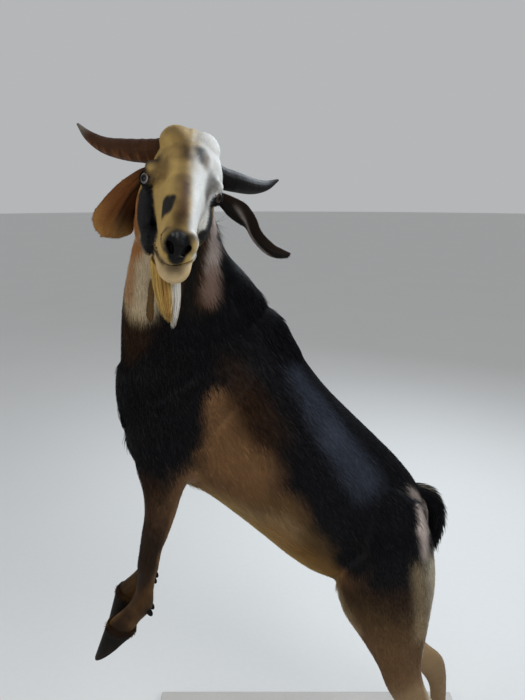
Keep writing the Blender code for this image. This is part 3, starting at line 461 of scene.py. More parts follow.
def grownTogether(name, forms, voxel, rounds, faces):
    # closed tubes remeshed as one flesh, smoothed, and made coarser where it is flat
    whole = meshObject(name, *merged([closedTube(rings) for rings in forms]))
    remesh = whole.modifiers.new("grow together", "REMESH")
    remesh.mode = "VOXEL"
    remesh.voxel_size = voxel
    soften = whole.modifiers.new("soften", "SMOOTH")
    soften.factor = 0.5
    soften.iterations = rounds
    applied(whole)
    points, triangles = largestPart(*arraysOf(whole.data))
    bpy.data.objects.remove(whole, do_unlink=True)
    whole = meshObject(name, points, triangles)
    coarser = whole.modifiers.new("coarser", "DECIMATE")
    coarser.ratio = min(1.0, faces / len(triangles))
    return applied(whole)


def roomBeyond(point, way, reach, size):
    # a box that starts at point and reaches along way
    way = unit(np.asarray(way, float))
    across = unit(np.cross(way, (0.3, 1.0, 0.1)))
    square = np.cross(way, across)
    corners = np.array([(1, 1), (-1, 1), (-1, -1), (1, -1)]) * size / 2
    ring = corners[:, :1] * across + corners[:, 1:] * square
    points, faces = closedTube(np.asarray(point) + np.stack([ring, ring + way * reach]))
    return meshObject("room", points, faces)


def legTable():
    # each leg's rows and its coronet and sole
    legs = {}
    for name, rows, ends, side, far in (
            ("hind_left", hindRows, hindEnds, -1, {}), ("hind_right", hindRows, hindEnds, 1, farHind),
            ("fore_left", foreRows, foreEnds, -1, {}), ("fore_right", farForeRows, farForeEnds, 1, farFore)):
        legs[name] = (uprightRows(rows, side, **far), uprightRows(ends, side, **far))
    return legs


def eyeAxes(side):
    # an eye's slant from front to back corner, the line across it, and its look
    forward, out, up = eyePlace["look"]
    look = unit(np.array([forward, side * out, up]) @ headAxes)
    slant = np.array([-out, side * forward, 0.35]) @ headAxes
    slant = unit(slant - look * (slant @ look))
    return slant, np.cross(look, slant), look


def coronetPlane(row):
    # the middle of a coronet and the way that the hoof leaves it
    line = row[0:3] - row[3:6]
    return (row[0:3] + row[3:6]) / 2, unit(np.array([-line[2], 0, line[0]]))


def nostrilRings(side):
    # a comma-shaped hole: a tube along a bent line, wide inside and thin at its outer end
    rows = [(0.266, 0.0070, -0.062, 0.0024), (0.265, 0.0095, -0.055, 0.0042), (0.261, 0.0140, -0.048, 0.0044),
            (0.254, 0.0190, -0.046, 0.0030), (0.249, 0.0225, -0.049, 0.0016)]
    table = smoothRows(rows, 40)
    centre = onHead(table[:, 0:3] * (1, side, 1) - (0.003, 0.0040, 0))
    angle = roundTurns(24)
    first = unit(np.cross(unit(np.gradient(centre, axis=0)), headAxes[0]))
    wide, deep = table[:, 3:4] * np.cos(angle), 2.0 * table[:, 3:4] * np.sin(angle)
    return ringsAbout(centre, first, headAxes[:1], wide, deep)


lipLine = {
    "height": -0.0765,    # over the poll, at the middle
    "tilt": 0.48,         # rise to the head's left
    "open": 0.0007,       # half the width of the slit
}


def slitRings():
    # a thin band bent round the muzzle at the line between the lips
    turn = np.linspace(-0.5 * np.pi, 0.5 * np.pi, 41)[:, None]
    scale = np.array([0.80, 1.25, 1.25, 0.80])[None, :]
    step = np.array([-1, -1, 1, 1])[None, :]
    forward = 0.198 + 0.066 * scale * np.cos(turn)
    left = 0.030 * scale * np.sin(turn)
    up = lipLine["height"] + lipLine["tilt"] * left + step * lipLine["open"] + 0 * scale
    return onHead(np.stack([forward, left, up], -1))


legs = legTable()


def makeFlesh():
    # body and head are grown apart, the head finer, then joined as one skin at the throat
    neck = limbRings(neckRows, 60, 64, -0.08)
    trunk = limbRings([(a, 0, b, c, 0, d, half) for a, b, c, d, half in trunkRows], 80, 72, -0.10)
    legTubes = [limbRings(rows, 5 * len(rows), 40) for rows, ends in legs.values()]
    skull = headForms()
    body = grownTogether("body", [trunk, neck, *legTubes, *bodyMuscles(), *skull[:2]],
                         flesh["bodyVoxel"], flesh["bodyRounds"], flesh["bodyFaces"])
    head = grownTogether("head", [neck, *skull], flesh["headVoxel"], flesh["headRounds"], flesh["headFaces"])
    throat, way = np.array(flesh["throat"]), unit(np.array(flesh["throatWay"]))
    lap = flesh["overlap"]
    solidCut(body, roomBeyond(throat + way * lap, way, 0.6, 0.9), "DIFFERENCE")
    solidCut(head, roomBeyond(throat - way * lap, way, 0.6, 0.9), "INTERSECT")
    for rows, ends in legs.values():
        point, leave = coronetPlane(ends[0])
        solidCut(body, roomBeyond(point + leave * 0.002, leave, 0.06, 0.072), "DIFFERENCE")
    socket = eyePlace["radius"] + eyePlace["gap"]
    cutters = [slitRings()]
    for word, side in (("left", 1), ("right", -1)):
        slant, across, look = eyeAxes(side)
        centre = onHead(eyePlace[word])
        front = centre + look * eyePlace["radius"]
        cutters += [ovalBall(centre, [socket] * 3),
                    ovalBall(front, eyePlace["opening"], (slant, across, look)), nostrilRings(side)]
    for rings in cutters:
        solidCut(head, meshObject("cutter", *closedTube(rings)), "DIFFERENCE")
    for thing, turned in ((body, -1), (head, 1)):
        points, faces = arraysOf(thing.data)
        beyond = (points - throat) @ way * -turned
        points -= normalsOf(points, faces) * (0.003 * softStep(0, lap, beyond))[:, None]
        thing.data.vertices.foreach_set("co", points.astype(np.float32).ravel())
        thing.data.update()
    solidCut(body, head, "UNION")
    points, faces = largestPart(*arraysOf(body.data))
    bpy.data.objects.remove(body, do_unlink=True)
    return points, faces


points, faces = makeFlesh()
print("flesh:", len(faces), "triangles")

# Colours of the coat, as light that comes back from it. Two are painted light rather than coat colour: the
# pale blue-black of the painted sheen on the back, and the grey-brown of the painted shade in the hollows
# over the eyes.
palette = {
    "black": (0.0030, 0.0030, 0.0042), "paintedSheen": (0.056, 0.066, 0.094), "ebony": (0.010, 0.008, 0.007),
    "umber": (0.024, 0.0105, 0.0040), "brown": (0.080, 0.036, 0.013), "dun": (0.110, 0.062, 0.022),
    "paintedHollowShade": (0.060, 0.052, 0.042), "tan": (0.195, 0.100, 0.043), "dusk": (0.26, 0.17, 0.135),
    "mauve": (0.62, 0.51, 0.46), "fawn": (0.33, 0.22, 0.115), "cream": (0.45, 0.305, 0.100),
    "sand": (0.60, 0.45, 0.26), "ivory": (0.62, 0.54, 0.40), "white": (0.62, 0.615, 0.585),
    "ochre": (0.36, 0.18, 0.05), "orange": (0.36, 0.15, 0.045), "rust": (0.135, 0.046, 0.010),
}

# Markings, laid one over another, among them painted sheen, highlight and shade where noted: from, to, half
# width at each end, softness, colour, share.
# In "body" both sides are alike, so y counts as -|y|; "world" and "head" places are as they are.
markings = [
    ("body", [
        # forelegs: dark in front, tan behind
        ((-0.352, -0.1, 0.9), (-0.362, -0.09, 0.7), (0.046, 0.036), 0.5, "umber", 0.9),
        ((-0.362, -0.09, 0.7), (-0.45, -0.09, 0.55), (0.036, 0.045), 0.5, "umber", 0.9),
        ((-0.275, -0.1, 0.915), (-0.312, -0.09, 0.83), (0.03, 0.018), 0.7, "tan", 0.85),
        ((-0.308, -0.09, 0.835), (-0.338, -0.09, 0.73), (0.017, 0.013), 0.8, "ochre", 0.5),
        ((-0.342, -0.09, 0.73), (-0.405, -0.09, 0.575), (0.014, 0.022), 0.8, "ochre", 0.4),
        ((-0.44, -0.09, 0.585), (-0.47, -0.09, 0.56), (0.012, 0.012), 0.8, "ochre", 0.3),
    ]),
    ("world", [
        # the far foreleg, which leans to the middle
        ((-0.355, 0.05, 0.83), (-0.372, -0.014, 0.7), (0.044, 0.04), 0.5, "umber", 0.9),
        ((-0.372, -0.014, 0.7), (-0.45, -0.033, 0.59), (0.036, 0.042), 0.5, "umber", 0.9),
        ((-0.322, 0.045, 0.82), (-0.35, -0.012, 0.72), (0.016, 0.014), 0.8, "ochre", 0.5),
        ((-0.35, -0.014, 0.72), (-0.415, -0.03, 0.605), (0.014, 0.022), 0.8, "ochre", 0.45),
    ]),
    ("body", [
        # a painted sheen on the back: a pale blue-black for the shine of the black hair; then a brown patch
        # behind the withers
        ((-0.075, -0.055, 1.13), (0, -0.08, 1.02), (0.022, 0.03), 0.95, "paintedSheen", 0.52),
        ((0.01, -0.085, 1.005), (0.08, -0.095, 0.915), (0.026, 0.03), 0.95, "paintedSheen", 0.6),
        ((-0.04, -0.105, 1.06), (0.06, -0.125, 0.9), (0.016, 0.022), 0.95, "paintedSheen", 0.3),
        ((-0.19, -0.115, 1.16), (-0.15, -0.115, 1.07), (0.028, 0.03), 0.9, "umber", 0.7),
        # ribs behind the shoulder, then the pale belly
        ((-0.212, -0.12, 1.085), (-0.19, -0.125, 0.985), (0.028, 0.052), 0.55, "tan", 0.85),
        ((-0.165, -0.12, 1.085), (-0.125, -0.13, 1.03), (0.035, 0.035), 0.9, "umber", 0.8),
        ((-0.21, -0.125, 0.975), (-0.16, -0.13, 0.945), (0.042, 0.055), 0.6, "tan", 0.9),
        ((-0.25, 0, 0.865), (0.03, 0, 0.67), (0.135, 0.125), 0.3, "tan", 0.95),
        ((-0.255, -0.075, 0.895), (-0.11, -0.125, 0.855), (0.045, 0.058), 0.5, "tan", 0.9),
        ((-0.11, -0.125, 0.85), (-0.01, -0.105, 0.735), (0.056, 0.04), 0.5, "dun", 0.95),
        ((-0.245, -0.06, 0.87), (-0.11, -0.11, 0.82), (0.042, 0.05), 0.6, "fawn", 0.8),
        ((-0.11, -0.095, 0.815), (0.01, -0.07, 0.69), (0.045, 0.034), 0.6, "ochre", 0.55),
        ((-0.2, 0, 0.83), (0.01, 0, 0.655), (0.1, 0.08), 0.5, "cream", 0.75),
        # hind legs, with pale edges, and the white beside the tail
        ((0.06, -0.115, 0.735), (0.035, -0.115, 0.76), (0.034, 0.03), 0.5, "black", 1),
        ((0.06, -0.09, 0.545), (0.19, -0.09, 0.56), (0.138, 0.145), 0.16, "umber", 0.95),
        ((0.08, -0.09, 0.52), (0.19, -0.09, 0.51), (0.13, 0.115), 0.35, "dun", 0.65),
        ((0.12, -0.09, 0.47), (0.19, -0.09, 0.4), (0.11, 0.095), 0.5, "tan", 0.55),
        ((0.225, -0.09, 0.33), (0.225, -0.09, 0.06), (0.09, 0.07), 0.4, "fawn", 0.75),
        ((0.33, -0.09, 0.33), (0.33, -0.09, 0.06), (0.09, 0.07), 0.4, "fawn", 0.75),
        ((0.04, -0.08, 0.655), (0.068, -0.09, 0.575), (0.022, 0.026), 0.7, "sand", 0.6),
        ((0.19, -0.13, 0.725), (0.208, -0.125, 0.56), (0.016, 0.016), 1, "sand", 0.34),
        ((0.225, -0.1, 0.72), (0.236, -0.085, 0.5), (0.026, 0.022), 0.8, "ivory", 0.75),
        ((0.236, -0.09, 0.5), (0.262, -0.09, 0.34), (0.018, 0.018), 0.6, "ivory", 0.8),
        ((0.183, -0.048, 0.862), (0.199, -0.03, 0.845), (0.01, 0.01), 1, "mauve", 0.6),
        ((0.196, -0.078, 0.836), (0.199, -0.097, 0.801), (0.009, 0.0115), 1, "mauve", 0.8),
        ((0.199, -0.097, 0.801), (0.203, -0.113, 0.755), (0.0115, 0.009), 1, "mauve", 0.7),
        ((0.222, -0.015, 0.8), (0.236, -0.045, 0.72), (0.026, 0.028), 1, "mauve", 0.45),
        ((0.205, -0.09, 0.1), (0.19, -0.09, 0.055), (0.035, 0.03), 0.4, "dun", 0.7),
    ]),
    ("world", [
        # neck: brown at its foot, a cream throat with a rusty edge, a mauve strip by the nape that is partly
        # painted highlight, and a brown edge to it that is painted shadow under the jaw
        ((-0.392, -0.05, 1.18), (-0.385, -0.06, 1.205), (0.026, 0.034), 0.8, "umber", 0.9),
        ((-0.385, -0.055, 1.22), (-0.372, -0.075, 1.262), (0.036, 0.05), 0.7, "umber", 0.8),
        ((-0.37, -0.075, 1.28), (-0.345, -0.12, 1.4), (0.042, 0.068), 0.45, "sand", 0.95),
        ((-0.362, -0.09, 1.29), (-0.34, -0.13, 1.4), (0.046, 0.06), 0.4, "ivory", 0.45),
        ((-0.384, -0.058, 1.285), (-0.366, -0.082, 1.376), (0.015, 0.018), 0.9, "orange", 0.75),
        ((-0.362, -0.086, 1.376), (-0.333, -0.19, 1.415), (0.018, 0.018), 0.4, "orange", 0.95),
        ((-0.245, -0.12, 1.44), (-0.262, -0.098, 1.28), (0.036, 0.032), 0.3, "ebony", 0.98),
        # painted shadow under the jaw: a brown strip along the front edge of the mauve
        ((-0.227, -0.096, 1.42), (-0.235, -0.09, 1.285), (0.013, 0.017), 0.6, "brown", 0.85),
        # the mauve strip and its dimmer foot, partly painted highlight from the light at the side
        ((-0.218, -0.082, 1.44), (-0.224, -0.088, 1.345), (0.015, 0.015), 0.6, "mauve", 0.95),
        ((-0.223, -0.088, 1.34), (-0.23, -0.088, 1.292), (0.015, 0.015), 0.8, "dusk", 0.9),
    ]),
    ("head", [
        # face
        ((0, 0, 0), (0.25, -0.002, -0.07), (0.09, 0.058), 0.12, "cream", 1),
        ((0.022, -0.032, 0.026), (0.048, -0.012, 0.024), (0.014, 0.013), 1, "dun", 0.75),
        ((-0.01, -0.018, 0.03), (0.01, -0.004, 0.03), (0.01, 0.01), 1, "dun", 0.42),
        ((0.02, 0.042, 0.015), (0.08, 0.044, 0), (0.04, 0.036), 0.35, "white", 0.95),
        ((0.08, 0.04, 0), (0.236, 0.022, -0.035), (0.042, 0.02), 0.3, "white", 1),
        ((0.236, 0.024, -0.035), (0.246, 0.026, -0.075), (0.018, 0.014), 0.5, "white", 0.8),
        ((0.115, 0.048, -0.042), (0.18, 0.034, -0.066), (0.022, 0.019), 0.4, "white", 0.9),
        ((0.11, 0, -0.125), (0.24, 0.004, -0.108), (0.045, 0.036), 0.3, "sand", 0.8),
        ((0.06, 0.066, -0.085), (0.14, 0.052, -0.108), (0.036, 0.024), 0.5, "umber", 0.95),
        ((0.036, -0.068, -0.1), (0.105, -0.062, -0.085), (0.03, 0.022), 0.4, "orange", 0.9),
        ((0.062, -0.02, 0.019), (0.088, -0.014, 0.012), (0.014, 0.012), 0.95, "dun", 0.7),
        ((0.07, -0.009, 0.018), (0.09, -0.006, 0.012), (0.008, 0.007), 0.95, "umber", 0.85),
        ((0.098, -0.009, 0.01), (0.15, -0.009, -0.004), (0.009, 0.0085), 0.95, "dun", 0.55),
        ((0.145, -0.009, -0.003), (0.236, -0.009, -0.024), (0.0105, 0.0105), 0.9, "dun", 0.8),
        ((0.16, -0.005, -0.004), (0.228, -0.005, -0.02), (0.0052, 0.0056), 0.95, "brown", 0.95),
        ((0.232, -0.01, -0.022), (0.25, -0.01, -0.032), (0.01, 0.013), 0.9, "umber", 0.75),
        ((0.066, 0.012, 0.02), (0.088, 0.018, 0.012), (0.009, 0.0075), 0.95, "ebony", 0.9),
        ((0.074, 0.024, 0.012), (0.094, 0.024, 0.004), (0.006, 0.006), 0.95, "dun", 0.7),
        # painted shade in the hollow over the right eye
        ((0.07, -0.046, -0.004), (0.116, -0.039, -0.018), (0.015, 0.014), 0.9, "dun", 0.8),
        # painted shade in the hollow over the left eye
        ((0.094, 0.039, -0.01), (0.13, 0.035, -0.026), (0.012, 0.011), 0.9, "paintedHollowShade", 0.9),
        ((0.186, -0.0285, -0.024), (0.209, -0.0285, -0.034), (0.0085, 0.0075), 0.22, "ebony", 1),
        ((0.193, -0.022, -0.019), (0.213, -0.0228, -0.027), (0.0088, 0.007), 0.22, "ebony", 1),
        ((0.07, -0.062, -0.018), (0.1, -0.059, -0.036), (0.0215, 0.019), 0.3, "umber", 1),
        ((0.098, -0.06, -0.05), (0.165, -0.044, -0.08), (0.0205, 0.018), 0.16, "black", 1),
        ((0.125, -0.05, -0.085), (0.181, -0.036, -0.096), (0.018, 0.0155), 0.2, "black", 1),
        ((0.094, -0.071, -0.072), (0.128, -0.0595, -0.1), (0.0095, 0.0085), 0.35, "orange", 0.95),
        ((0.165, -0.041, -0.08), (0.202, -0.032, -0.103), (0.018, 0.011), 0.2, "black", 1),
        ((0.078, 0.06, -0.03), (0.112, 0.052, -0.04), (0.013, 0.012), 0.2, "black", 1),
        ((0.11, 0.056, -0.052), (0.16, 0.047, -0.086), (0.015, 0.014), 0.2, "black", 1),
        ((0.16, 0.041, -0.076), (0.2, 0.032, -0.094), (0.0125, 0.006), 0.2, "ebony", 1),
        ((0.248, -0.022, -0.04), (0.255, 0.01, -0.038), (0.006, 0.006), 0.8, "ebony", 0.9),
        ((0.246, -0.028, -0.046), (0.256, -0.016, -0.058), (0.005, 0.008), 0.4, "black", 1),
        ((0.25, 0.016, -0.04), (0.256, 0.008, -0.052), (0.005, 0.008), 0.4, "black", 1),
        # painted shade under the upper lip and along the line between the lips
        ((0.246, -0.004, -0.086), (0.262, -0.001, -0.083), (0.014, 0.013), 0.8, "umber", 0.75),
        ((0.205, -0.032, -0.092), (0.248, -0.018, -0.085), (0.0035, 0.0035), 0.8, "umber", 0.7),
        ((0.262, 0.002, -0.0755), (0.238, 0.024, -0.0645), (0.003, 0.003), 0.8, "umber", 0.6),
    ]),
]

nosePad = {
    "skin": (0.003, 0.003, 0.0035),
    "from": (0.261, -0.006, -0.049),    # head places along the middle of the bare nose
    "to": (0.266, -0.004, -0.065),
    "reach": (0.0195, 0.0120),
    "soft": 0.22,
}

waves = np.random.default_rng(11).normal(0, 1, (18, 3))
waveSizes = np.repeat([0.030, 0.013, 0.006], 6)
wavePhases = np.linspace(0, 31, 18)


def ragged(points):
    # an uneven value about nought: the mean of sines along slanted lines of three sizes
    along = points @ (unit(waves) * (2 * np.pi / waveSizes)[:, None]).T + wavePhases
    return np.sin(along).reshape(len(points), 3, 6).mean(axis=-1) @ np.array([1.0, 0.8, 0.6])


def strokeReach(points, start, end, wide):
    # the distance from a line, in shares of the half width there
    start, line = np.asarray(start, float), np.asarray(end, float) - np.asarray(start, float)
    t = np.clip((points - start) @ line / (line @ line), 0, 1)
    apart = np.linalg.norm(points - start - t[:, None] * line, axis=1)
    return apart / (wide[0] + (wide[1] - wide[0]) * t)


def allSpaces(points):
    # the points in the world, from the head, and with both sides of the body laid on the left one
    return {"world": points, "head": toHead(points), "body": points * (1, 0, 1) - np.abs(points) * (0, 1, 0)}


def layered(tint, layers):
    # each named colour laid over the tint by the share that its mask gives
    for key, mask in layers:
        tint = tint + mask[:, None] * (np.array(palette[key]) - tint)
    return tint


def noseShare(local):
    # how far a head place lies in the bare skin of the nose
    reach = strokeReach(local, nosePad["from"], nosePad["to"], nosePad["reach"])
    return 1 - softStep(1 - nosePad["soft"], 1 + nosePad["soft"], reach)


def coatColour(points):
    # black, then each marking laid over it where its soft, ragged edge allows
    spaces = allSpaces(points)
    uneven = ragged(points)
    tint = np.tile(palette["black"], (len(points), 1))
    for space, rows in markings:
        for start, end, wide, soft, colour, share in rows:
            reach = strokeReach(spaces[space], start, end, wide) + uneven * 0.22 * soft
            tint = layered(tint, [(colour, share * (1 - softStep(1 - soft, 1 + soft, reach)))])
    return tint


# Zones of the coat: space, from, to, reach, lie, length, width, depth over the hide, spacing.
# "both" zones are on each side; millimetres from length on.
coatZones = {
    "poll": ("head", (-0.03, 0, -0.01), (0.03, 0, 0.02), 0.03, (-1, 0, 0.2), 8, 1.3, 1.3, 1.75),
    "face": ("head", (0.07, 0, 0.01), (0.2, 0, -0.02), 0.032, (-1, 0, 0), 6.5, 1.1, 0.8, 1.5),
    "muzzle": ("head", (0.235, 0, -0.06), (0.255, 0, -0.08), 0.026, (-0.8, 0, 0.3), 3.5, 0.8, 0.45, 1.35),
    "cheek": ("both head", (0.05, 0.05, -0.06), (0.13, 0.036, -0.08), 0.03,
              (-0.9, 0.1, -0.4), 8, 1.3, 1.1, 1.8),
    "jaw": ("head", (0.04, 0, -0.125), (0.2, 0, -0.125), 0.03, (-0.9, 0, -0.3), 9, 1.4, 1.3, 1.9),
    "throat": ("world", (-0.35, -0.11, 1.4), (-0.4, -0.01, 1.2), 0.055, (0, 0.1, -1), 20, 1.7, 2.2, 2.5),
    "nape": ("world", (-0.225, -0.09, 1.45), (-0.14, 0, 1.29), 0.055, (0.3, 0.25, -1), 24, 1.8, 2.4, 2.6),
    "breast": ("world", (-0.42, 0, 1.12), (-0.39, 0, 0.94), 0.055, (0.05, 0, -1), 23, 1.9, 2.4, 2.7),
    "shoulder": ("both", (-0.27, 0.1, 1.09), (-0.33, 0.09, 0.94), 0.065, (0.3, 0, -1), 20, 1.8, 2.1, 2.6),
    "back": ("world", (-0.1, 0, 1.24), (0.19, 0, 0.88), 0.06, (0.64, 0, -0.77), 25, 1.9, 2.4, 2.7),
    "side": ("both", (-0.15, 0.13, 1.06), (0.08, 0.14, 0.86), 0.075, (0.55, 0, -0.83), 23, 1.9, 2.2, 2.7),
    "belly": ("world", (-0.25, 0, 0.87), (0.08, 0, 0.68), 0.07, (0.8, 0, -0.6), 25, 1.9, 2.5, 2.7),
    "rump": ("both", (0.215, 0.05, 0.82), (0.22, 0.09, 0.69), 0.055, (0.15, 0, -1), 19, 1.8, 2.2, 2.6),
    "thigh": ("both", (0.11, 0.12, 0.7), (0.15, 0.11, 0.52), 0.06, (0.2, 0, -1), 15, 1.6, 1.8, 2.35),
    "shank": ("both", (0.17, 0.09, 0.46), (0.245, 0.09, 0.24), 0.045, (0.15, 0, -1), 9, 1.4, 1.3, 2),
    "farShank": ("world", (0.26, 0.09, 0.42), (0.347, 0.09, 0.24), 0.045, (0.15, 0, -1), 9, 1.4, 1.3, 2),
    "pastern": ("both", (0.24, 0.09, 0.17), (0.21, 0.09, 0.06), 0.04, (-0.3, 0, -1), 7, 1.2, 1, 1.8),
    "farPastern": ("world", (0.342, 0.09, 0.17), (0.312, 0.09, 0.06), 0.04, (-0.3, 0, -1), 7, 1.2, 1, 1.8),
    "forearm": ("both", (-0.335, 0.09, 0.88), (-0.362, 0.09, 0.74), 0.045, (-0.1, 0, -1), 11, 1.5, 1.4, 2.1),
    "knee": ("both", (-0.372, 0.09, 0.7), (-0.45, 0.09, 0.56), 0.04, (-0.4, 0, -1), 7, 1.2, 1, 1.8),
    "farKnee": ("world", (-0.372, -0.01, 0.72), (-0.445, -0.03, 0.58), 0.04, (-0.4, 0, -1), 7, 1.2, 1, 1.8),
}


def zoneRows():
    # every zone's line in the world, reach, lie and sizes, with "both" zones on each side
    rows = []
    for name, (space, start, end, reach, lie, *sizes) in coatZones.items():
        for side in ((-1, 1) if "both" in space else (1,)):
            a, b, way = (np.array(v, float) * (1, side, 1) for v in (start, end, lie))
            if "head" in space:
                a, b, way = onHead(a), onHead(b), way @ headAxes
            rows.append((name, a, b, reach, unit(way), np.array(sizes) / 1000))
    return rows


zoneTable = zoneRows()


def coatFields(points, normals):
    # each point's lie of hair and sizes: the zones' own, weighed by exp(-2 (distance / reach)^2)
    reaches = [strokeReach(points, a, b, (reach, reach)) for _, a, b, reach, _, _ in zoneTable]
    weights = np.exp(-2 * np.minimum(np.stack(reaches, -1), 5)**2) + 1e-22
    weights /= weights.sum(axis=1, keepdims=True)
    lie = weights @ np.array([row[4] for row in zoneTable])
    lie += 0.20 * ragged(points * 0.45)[:, None] * np.cross(normals, lie)
    sizes = weights @ np.array([row[5] for row in zoneTable])
    return laidOn(lie, normals), sizes, weights


# Modelled forms of the hide: space, from, to, half width at each end, height in millimetres
hideForms = [
    ("body", (-0.215, -0.11, 1.17), (-0.33, -0.1, 1), (0.026, 0.028), 2),
    ("body", (-0.16, -0.12, 1.12), (-0.235, -0.12, 1), (0.022, 0.02), -3),
    ("body", (0.02, -0.13, 0.9), (0.075, -0.13, 0.8), (0.045, 0.04), -6),
    ("body", (0.12, -0.1, 0.935), (0.17, -0.1, 0.86), (0.022, 0.02), 3),
    ("body", (0.13, -0.14, 0.7), (0.17, -0.13, 0.5), (0.02, 0.016), 2),
    ("body", (0.195, -0.13, 0.56), (0.222, -0.11, 0.4), (0.01, 0.008), -2.5),
    ("body", (0.06, -0.12, 0.64), (0.09, -0.12, 0.52), (0.014, 0.012), -2),
    ("body", (-0.33, -0.13, 0.93), (-0.345, -0.12, 0.83), (0.012, 0.01), -1.6),
    ("head", (0, 0.005, 0.03), (0.11, 0.001, 0.01), (0.009, 0.006), -2),
    ("head", (0.11, 0.018, -0.008), (0.205, 0.012, -0.022), (0.007, 0.006), 1),
    ("head", (0.11, -0.02, -0.008), (0.205, -0.014, -0.022), (0.007, 0.006), 1),
    ("head", (0.262, -0.003, -0.06), (0.262, -0.003, -0.08), (0.0025, 0.002), -1.3),
    ("head", (0.255, -0.026, -0.048), (0.246, -0.024, -0.058), (0.003, 0.003), -0.8),
    ("head", (0.255, 0.02, -0.048), (0.246, 0.018, -0.058), (0.003, 0.003), -0.8),
]
for side in (-1, 1):
    hideForms += [
        ("head", (0.060, side * 0.058, -0.070), (0.165, side * 0.040, -0.072), (0.006, 0.005), 1.6),
        ("head", (0.072, side * 0.061, -0.016), (0.116, side * 0.054, -0.022), (0.004, 0.004), 1.5),
        ("head", (0.080, side * 0.064, -0.024), (0.112, side * 0.059, -0.026), (0.0022, 0.0020), -1.2),
        ("head", (0.078, side * 0.062, -0.052), (0.118, side * 0.054, -0.056), (0.0025, 0.0022), -1.1),
        ("head", (0.080, side * 0.060, -0.060), (0.124, side * 0.052, -0.064), (0.0028, 0.0024), 0.8),
        ("head", (0.074, side * 0.042, 0.000), (0.128, side * 0.037, -0.016), (0.012, 0.011), -3.4),
        ("head", (0.130, side * 0.040, -0.096), (0.205, side * 0.030, -0.092), (0.007, 0.006), -1.4),
        ("head", (0.206, side * 0.028, -0.085), (0.226, side * 0.026, -0.087), (0.004, 0.003), -1.0),
    ]


def modelled(points, normals):
    # each form adds its height times exp(-2 reach^2) along the normal
    spaces = allSpaces(points)
    rise = np.zeros(len(points))
    for space, start, end, wide, height in hideForms:
        reach = strokeReach(spaces[space], start, end, wide)
        rise += height / 1000 * np.exp(-2 * reach**2)
    return points + normals * rise[:, None]


normals = normalsOf(points, faces)
lie, sizes, zones = coatFields(points, normals)
bare = noseShare(toHead(points))
points = modelled(points, normals)
points -= normals * (sizes[:, 2] * (1 - bare))[:, None]
normals = normalsOf(points, faces)
hideColour = coatColour(points)
hideColour += bare[:, None] * (np.array(nosePad["skin"]) - hideColour)
print("hide shaped and marked")


def bendAlong(points, faces, normals, lie, rounds):
    # how fast the normal turns along the lie, from the edges round each point, then evened out
    pairs = np.concatenate([faces[:, [0, 1]], faces[:, [1, 2]], faces[:, [2, 0]]])
    a, b = np.concatenate([pairs, pairs[:, ::-1]]).T
    edge = points[b] - points[a]
    run = (edge * lie[a]).sum(axis=1)
    turn = ((normals[b] - normals[a]) * lie[a]).sum(axis=1)
    weight = run**2
    bend = np.bincount(a, turn * run, len(points)) / np.maximum(np.bincount(a, weight, len(points)), 1e-12)
    near = np.maximum(np.bincount(a, minlength=len(points)), 1)
    for _ in range(rounds):
        bend = 0.4 * bend + 0.6 * np.bincount(a, bend[b], len(points)) / near
    return np.clip(bend, -60, 60)


bend = bendAlong(points, faces, normals, lie, 8)


def nodeOf(tree, kind, values=(), **settings):
    # one shader node, its settings, and values for its sockets by name
    made = tree.nodes.new(kind)
    for key, value in settings.items():
        setattr(made, key, value)
    for key, value in dict(values).items():
        made.inputs[key].default_value = value
    return made


def join(tree, start, output, end, socket):
    # one link, from a node's output to another node's input
    tree.links.new(start.outputs[output], end.inputs[socket])


def finish(name, roughness, **values):
    # a new material with its own Principled shader and the constants of its sockets
    made = bpy.data.materials.new(name)
    made.use_nodes = True
    shader = made.node_tree.nodes["Principled BSDF"]
    shader.inputs["Roughness"].default_value = roughness
    for key, value in values.items():
        shader.inputs[key.replace("_", " ")].default_value = value
    return made, made.node_tree, shader


def effect(name, inputs, outputs):
    # an empty shader node group with named sockets
    group = bpy.data.node_groups.new(name, "ShaderNodeTree")
    for key, kind, value in inputs:
        socket = group.interface.new_socket(key, in_out="INPUT", socket_type=kind)
        socket.default_value = value
    for key, kind in outputs:
        group.interface.new_socket(key, in_out="OUTPUT", socket_type=kind)
    return group, group.nodes.new("NodeGroupInput"), group.nodes.new("NodeGroupOutput")


def grainEffect():
    # fine uneven grain: two noises mixed, as a value about one and as a height
    number = "NodeSocketFloat"
    group, given, out = effect("grain", [("Vector", "NodeSocketVector", (0, 0, 0)), ("Fine", number, 300),
                                         ("Coarse", number, 40), ("Depth", number, 0.3)],
                               [("Value", number), ("Height", number)])
    fine = nodeOf(group, "ShaderNodeTexNoise", {"Detail": 3.0})
    coarse = nodeOf(group, "ShaderNodeTexNoise", {"Detail": 4.0})
    for noise, key in ((fine, "Fine"), (coarse, "Coarse")):
        join(group, given, "Vector", noise, "Vector")
        join(group, given, key, noise, "Scale")
    both = nodeOf(group, "ShaderNodeMath", operation="ADD")
    join(group, fine, "Fac", both, 0)
    join(group, coarse, "Fac", both, 1)
    centred = nodeOf(group, "ShaderNodeMath", operation="SUBTRACT")
    centred.inputs[1].default_value = 1.0
    join(group, both, 0, centred, 0)
    scaled = nodeOf(group, "ShaderNodeMath", operation="MULTIPLY_ADD")
    scaled.inputs[2].default_value = 1.0
    join(group, centred, 0, scaled, 0)
    join(group, given, "Depth", scaled, 1)
    join(group, scaled, 0, out, "Value")
    join(group, both, 0, out, "Height")
    return group


grain = grainEffect()


